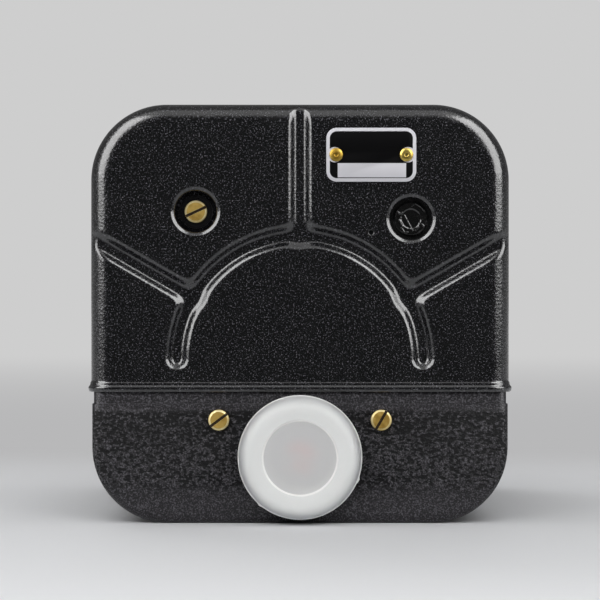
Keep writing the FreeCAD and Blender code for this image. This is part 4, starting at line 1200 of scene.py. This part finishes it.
@dataclass
class SealLump:
    """Sealing pitch poured over the screw: low at the cup's wall, pressed flat in the middle, creased."""

    centre: tuple[float, float] = (-33.6, 28.7)
    radius: float = 6.2
    low: float = 200.25
    over_screw: float = 202.05
    top: float = 202.75
    stamp: float = 2.95
    shore: float = 5.15
    head_room: float = 3.45
    creases: tuple[tuple[float, float, float, float, float], ...] = (
        (-2.0, 1.1, 0.55, -3.6, 0.14), (0.25, 3.85, 1.2, 4.8, 0.14), (1.2, 4.8, 3.0, 3.7, 0.2),
        (3.0, 3.7, 4.7, 1.7, 0.18), (4.7, 1.7, 5.0, 0.4, 0.12), (-4.4, 2.4, -3.4, 1.6, 0.22),
        (-3.4, 1.6, -2.6, 1.85, 0.2), (-4.2, 2.0, -4.7, 0.5, 0.12), (-2.8, -2.8, -2.0, -4.2, 0.16),
        (-2.0, -4.2, -1.0, -4.0, 0.2), (2.4, 0.9, 2.5, -1.7, 0.1), (3.6, 0.2, 3.3, -1.6, 0.1),
        (3.3, -1.6, 4.5, -2.9, 0.16), (1.4, -3.4, 2.6, -2.4, 0.14), (-3.6, -0.2, -2.6, -2.2, 0.16),
        (2.0, -4.0, 3.3, -3.1, 0.1))
    crease_width: float = 0.2
    lump: tuple[float, float] = (0.1, 0.8)
    grit: tuple[float, float] = (0.03, 2.2)
    shore_wander: float = 0.25
    shore_drop: tuple[float, float] = (1.15, 0.12)
    stamp_drop: tuple[float, float] = (0.3, 0.1)
    finish: SealPitch = field(default_factory=SealPitch)

    def rise(self, across: float, up: float) -> float:
        """Height of the poured face over its mean.

        Args:
            across: Distance right of the middle as seen from the rear.
            up: Distance above the middle.

        Returns:
            Height in millimetres.
        """
        out = math.hypot(across, up)
        angle = math.atan2(up, across)
        lumps = (self.lump[0] * noise.noise(Vector((across, up, 3.0)) * self.lump[1])
                 + self.grit[0] * noise.noise(Vector((across, up, 9.0)) * self.grit[1]))
        ragged = self.shore + self.shore_wander * noise.noise(Vector((angle * 1.5, 2.0, 7.0)))
        shore = -self.shore_drop[0] / (1 + math.exp((ragged - out) / self.shore_drop[1]))
        pressed = -self.stamp_drop[0] / (1 + math.exp((out - self.stamp) / self.stamp_drop[1]))
        folds = 0.0
        for x1, z1, x2, z2, tall in self.creases:
            run_x, run_z = x2 - x1, z2 - z1
            share = ((across - x1) * run_x + (up - z1) * run_z) / (run_x * run_x + run_z * run_z)
            along = max(0.0, min(1.0, share))
            aside = math.hypot(across - x1 - along * run_x, up - z1 - along * run_z)
            folds = max(folds, tall * math.exp(-(aside / self.crease_width) ** 2))
        return lumps + shore + pressed + folds

    def build(self, slot: str) -> Object:
        """Turns the lump and works its face."""
        face = [(r, self.top - self.low) for r in np.linspace(self.radius, 0.0, 64)]
        profile = [(0.0, self.over_screw - self.low), (self.head_room, self.over_screw - self.low),
                   (self.head_room, 0.0), (self.radius, 0.0), (self.radius, 1.2)] + face
        x, z = self.centre
        piece = turned("seal_lump", profile, (x, self.low, z), 220)
        for vertex in piece.data.vertices:
            if vertex.co.y > (self.top - 0.01) * MM:
                vertex.co.y += self.rise(x - vertex.co.x / MM, vertex.co.z / MM - z) * MM
        smooth(piece, 60)
        return dress(piece, "case", self.finish.build(), slot, "seal_mastic")


@dataclass
class Studio:
    """Plain pale room: a long lens, soft lamps, a paper floor with painted shade beside and behind the
    object, and even light, dark on the camera's side.
    """

    eye: tuple[float, float, float] = (0.0, 1.205, 0.0041)
    lens: float = 198.5
    floor_height: float = -0.0635
    wall: str = "cecece"
    # Floor tones for camera rays: lighter in front, and painted shade beside and behind the object.
    near: str = "d7d8da"
    far: str = "b8b8b9"
    paper: str = "e5e6e8"
    mirrored: str = "6c6c6c"
    ambient: float = 0.4
    dark_side: float = 0.05
    glow_from: tuple[float, float] = (0.46, 0.95)
    paper_ends: tuple[float, float] = (0.26, 0.4)
    lit_by: tuple[tuple[str, tuple[float, float, float], tuple[float, float], float], ...] = (
        ("left_box", (0.85, 0.6, 0.62), (0.8, 1.3), 16.0),
        ("right_box", (-0.85, 0.6, 0.62), (0.8, 1.3), 16.0),
        ("top_box", (0.0, 0.62, 1.35), (2.2, 1.0), 5.0),
        ("rear_fill", (0.0, 1.4, 0.5), (1.4, 0.6), 14.0),
        ("front_fill", (0.3, -1.3, 0.7), (1.4, 0.8), 11.0))

    def camera(self) -> None:
        """Adds the camera square to the rear face."""
        data = bpy.data.cameras.new("camera")
        data.lens = self.lens
        data.sensor_width = 36.0
        data.clip_start = 0.01
        data.clip_end = 50.0
        camera = bpy.data.objects.new("camera", data)
        camera.location = self.eye
        camera.rotation_euler = (QUARTER, 0, math.pi)
        bpy.context.scene.collection.objects.link(camera)
        bpy.context.scene.camera = camera

    def lamps(self) -> None:
        """Adds a soft fill behind and in front, a box overhead and two tall boxes that only gloss shows."""
        for name, place, size, power in self.lit_by:
            light = bpy.data.lights.new(name, "AREA")
            light.shape = "RECTANGLE"
            light.size, light.size_y = size
            light.energy = power
            lamp = bpy.data.objects.new(name, light)
            lamp.location = place
            aim = Vector((0, 0.15, 0)) - Vector(place)
            lamp.rotation_euler = aim.to_track_quat("-Z", "Y").to_euler()
            lamp.visible_diffuse = name not in ("left_box", "right_box")
            lamp.visible_glossy = lamp.visible_transmission = not name.endswith("fill")
            bpy.context.scene.collection.objects.link(lamp)

    def room(self) -> None:
        """Makes the world pale to the eye, and to the object even behind it and dark behind the camera."""
        world = bpy.data.worlds.new("studio_air")
        bpy.context.scene.world = world
        world.use_nodes = True
        on = Wiring(world.node_tree)
        path = on.add("LightPath")
        seen = on.most(path.outputs["Is Camera Ray"], path.outputs["Is Transmission Ray"])
        dim, dark = ((level, level, level, 1.0) for level in (self.ambient, self.dark_side))
        far_side = on.blended(path.outputs["Is Glossy Ray"], dim, linear(self.mirrored))
        air = on.blended(self.behind(on), dark, far_side)
        shade = on.add("Background", links={"Color": on.blended(seen, air, linear(self.wall))})
        on.add("OutputWorld", links={"Surface": shade.outputs[0]})

    def behind(self, on: Wiring) -> NodeSocket:
        """Share of the pale wall in a direction: all behind and beside the object, none behind the camera."""
        way = on.add("TexCoord").outputs["Generated"]
        return on.ramp(on.add("SeparateXYZ", links={0: way}).outputs[1], 0.5, -0.3)

    def floor(self) -> None:
        """Adds the floor, which shows camera rays a painted tone, darker with painted shade beside and behind
        the object, and fades into the wall far behind.
        """
        bpy.ops.object.select_all(action="DESELECT")
        bpy.ops.mesh.primitive_plane_add(size=30.0, location=(0, 0, self.floor_height))
        piece = bpy.context.active_object
        piece.name = "studio_floor"
        settle(piece)
        on = Paint("matt_paper_floor")
        on.feed({"Base Color": linear(self.paper), "Roughness": 0.9, "Specular IOR Level": 0.1})
        along = on.parted()[1]
        # Painted shade: the floor's tone to camera rays is darker beside and behind the object than in front.
        back = on.blended(on.ramp(along, -0.5, -3.0), linear(self.far), linear(self.wall))
        tone = on.blended(on.ramp(along, 0.08, 0.22), back, linear(self.near))
        glow = on.add("Emission", links={"Color": tone})
        path = on.add("LightPath")
        seen = on.sums("MULTIPLY", path.outputs["Is Camera Ray"], on.ramp(along, 0.02, -0.3))
        out = on.add("VectorMath", links={0: on.place}, operation="LENGTH").outputs["Value"]
        share = on.most(on.ramp(out, *self.glow_from), seen)
        both = on.add("MixShader", links={0: share, 1: on.shader.outputs[0], 2: glow.outputs[0]})
        dark = on.add("Emission", {"Color": (self.dark_side, self.dark_side, self.dark_side, 1.0)})
        ended = on.sums("MULTIPLY", path.outputs["Is Glossy Ray"], on.ramp(along, *self.paper_ends))
        paper = on.add("MixShader", links={0: ended, 1: both.outputs[0], 2: dark.outputs[0]})
        on.tree.links.new(paper.outputs[0], on.output.inputs["Surface"])
        finish_with(piece, on.material)

    def build(self) -> None:
        """Sets up colour, camera, lamps, room and floor."""
        bpy.context.scene.view_settings.view_transform = "Standard"
        self.camera()
        self.lamps()
        self.room()
        self.floor()


@dataclass(frozen=True)
class Carried:
    """One CAD solid that keeps its shape: its finish, its broken edge and its piece's own name, if any."""

    node: str
    finish: Any
    round_mm: float
    name: str = ""


REAR_FITTINGS = (
    Carried("base_housing", WrinkleEnamel(), 0.4, name="base_casting"),
    Carried("data_plate", EtchedPlate(), 0.12),
    Carried("connector_shell", OLIVE_SHELL, 0.15, name="receptacle_shell"),
    Carried("connector_insert", INSERT_RUBBER, 0.1, name="receptacle_insert"),
    Carried("connector_pins", GOLD_PINS, 0.0, name="receptacle_pins"),
)

FRONT_FITTINGS = (
    Carried("front_bezel", BLACK_ENAMEL, 0.3),
    Carried("bezel_screws", BLACKED_STEEL, 0.08),
    Carried("glass_ring", BLACK_ENAMEL, 0.12),
    Carried("cover_glass", ClearGlass("polished_plate_glass"), 0.1),
    Carried("glass_gasket", SEAL_RUBBER, 0.0),
    Carried("dial_mask", MASK_PAINT, 0.08),
    Carried("slip_tube", ClearGlass("drawn_slip_glass", "dfeadb"), 0.0),
    Carried("slip_tube_rest", IVORY_PAINT, 0.1),
    Carried("slip_ball", POLISHED_BLACK, 0.0),
    Carried("front_plate", BLACK_ANODISE, 0.15),
    Carried("trim_index", YELLOW_PAINT, 0.08),
    Carried("trim_knob", BLACK_MOULDING, 0.15),
    Carried("control_bushes", PLATED_STEEL, 0.1),
    Carried("erect_button", RED_MOULDING, 0.2),
    Carried("return_spring", GROUND_STEEL, 0.0),
    Carried("erect_switch", BROWN_MOULDING, 0.15),
    Carried("warning_flag", RED_PAINT, 0.05),
    Carried("flag_actuator", GROUND_STEEL, 0.1),
)

DISPLAY = (
    Carried("ring_bearing", GROUND_STEEL, 0.1),
    Carried("roll_ring", BLACK_ANODISE, 0.05),
    Carried("aircraft_silhouette", ORANGE_PAINT, 0.05),
    Carried("roll_pinion", AGED_BRASS, 0.03),
    Carried("roll_servo_motor", GROUND_STEEL, 0.15),
    Carried("pitch_drum", DrumPaint(), 0.1),
    Carried("drum_shaft", GROUND_STEEL, 0.08),
    Carried("drum_gear", AGED_BRASS, 0.03),
    Carried("drum_side_plates", ALUMINIUM, 0.12),
    Carried("pitch_pinion", AGED_BRASS, 0.03),
    Carried("pitch_servo_motor", GROUND_STEEL, 0.15),
)

GYRO_UNIT = (
    Carried("mid_bulkhead", ALUMINIUM, 0.15),
    Carried("rear_bulkhead", ALUMINIUM, 0.15),
    Carried("tie_rods", GROUND_STEEL, 0.1),
    Carried("shaft_bearings", GROUND_STEEL, 0.1),
    Carried("roll_synchro", ALUMINIUM, 0.15),
    Carried("roll_gimbal", ALUMINIUM, 0.2),
    Carried("pitch_bearings", GROUND_STEEL, 0.1),
    Carried("pitch_torquer", CopperWinding(), 0.15),
    Carried("pitch_synchro", ALUMINIUM, 0.15),
    Carried("slip_rings", GOLD_PINS, 0.05),
    Carried("brush_block", BROWN_MOULDING, 0.1),
    Carried("gyro_housing", ALUMINIUM, 0.2),
    Carried("gyro_housing_cap", ALUMINIUM, 0.2),
    Carried("gyro_rotor", GROUND_STEEL, 0.15),
    Carried("gyro_stator", CopperWinding("stator_winding"), 0.1),
    Carried("rotor_bearings", GROUND_STEEL, 0.1),
    Carried("levelling_switch", PLATED_STEEL, 0.1),
    Carried("amplifier_board", BoardLaminate(), 0.05),
)


@dataclass
class CarriedSet:
    """A sub-assembly whose solids keep their shapes and get broken edges and a finish."""

    parts: tuple[Carried, ...]

    def build(self, frame: dict, finishes: dict[str, Material]) -> None:
        """Copies, softens and dresses each solid.

        Args:
            frame: The loaded frame.
            finishes: Materials made so far, by name.
        """
        carriers = frame["record"]["behaviour"]["bodies"]
        bodies = {node: body for body, nodes in carriers.items() for node in nodes}
        slots = material_slots(frame)
        for part in self.parts:
            if part.finish.name not in finishes:
                finishes[part.finish.name] = part.finish.build()
            piece = from_solid(frame, part.node, (part.name or part.node) + ".piece", part.round_mm)
            dress(piece, bodies[part.node], finishes[part.finish.name], slots[part.node], part.node)


def material_slots(frame: dict) -> dict[str, str]:
    """Material slot of each CAD node."""
    return {row["node"]: row["material_slot"] for row in frame["record"]["subparts"]}


def main() -> None:
    """Builds the sub-assemblies in order."""
    logging.basicConfig(level=logging.INFO, format="%(name)s %(message)s")
    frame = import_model()
    Studio().build()
    slots = material_slots(frame)
    cover = RearCover()
    cover.build()
    ReceptacleCap().build()
    seat = cover.cup_floor + 1.2
    cups = [Screw((x, seat, z), 3.4, 7.7, 25.0) for x, z in cover.cups]
    base = [Screw((side * 24.55, 204.4, -32.2), 3.15, 8.5, turn) for side, turn in ((-1, 60.0), (1, 37.0))]
    for node, plans in (("cover_screws", cups), ("base_rear_screws", base)):
        SlottedScrews(node, node + ".piece", slots[node], AGED_BRASS, tuple(plans)).build()
    PlateRivets().build(slots["plate_rivets"])
    CupWashers(cover.cups).build(slots["cup_washers"])
    SealLump().build(slots["seal_mastic"])
    finishes: dict[str, Material] = {}
    for parts in (REAR_FITTINGS, FRONT_FITTINGS, DISPLAY, GYRO_UNIT):
        CarriedSet(parts).build(frame, finishes)


if __name__ == "__main__":
    main()
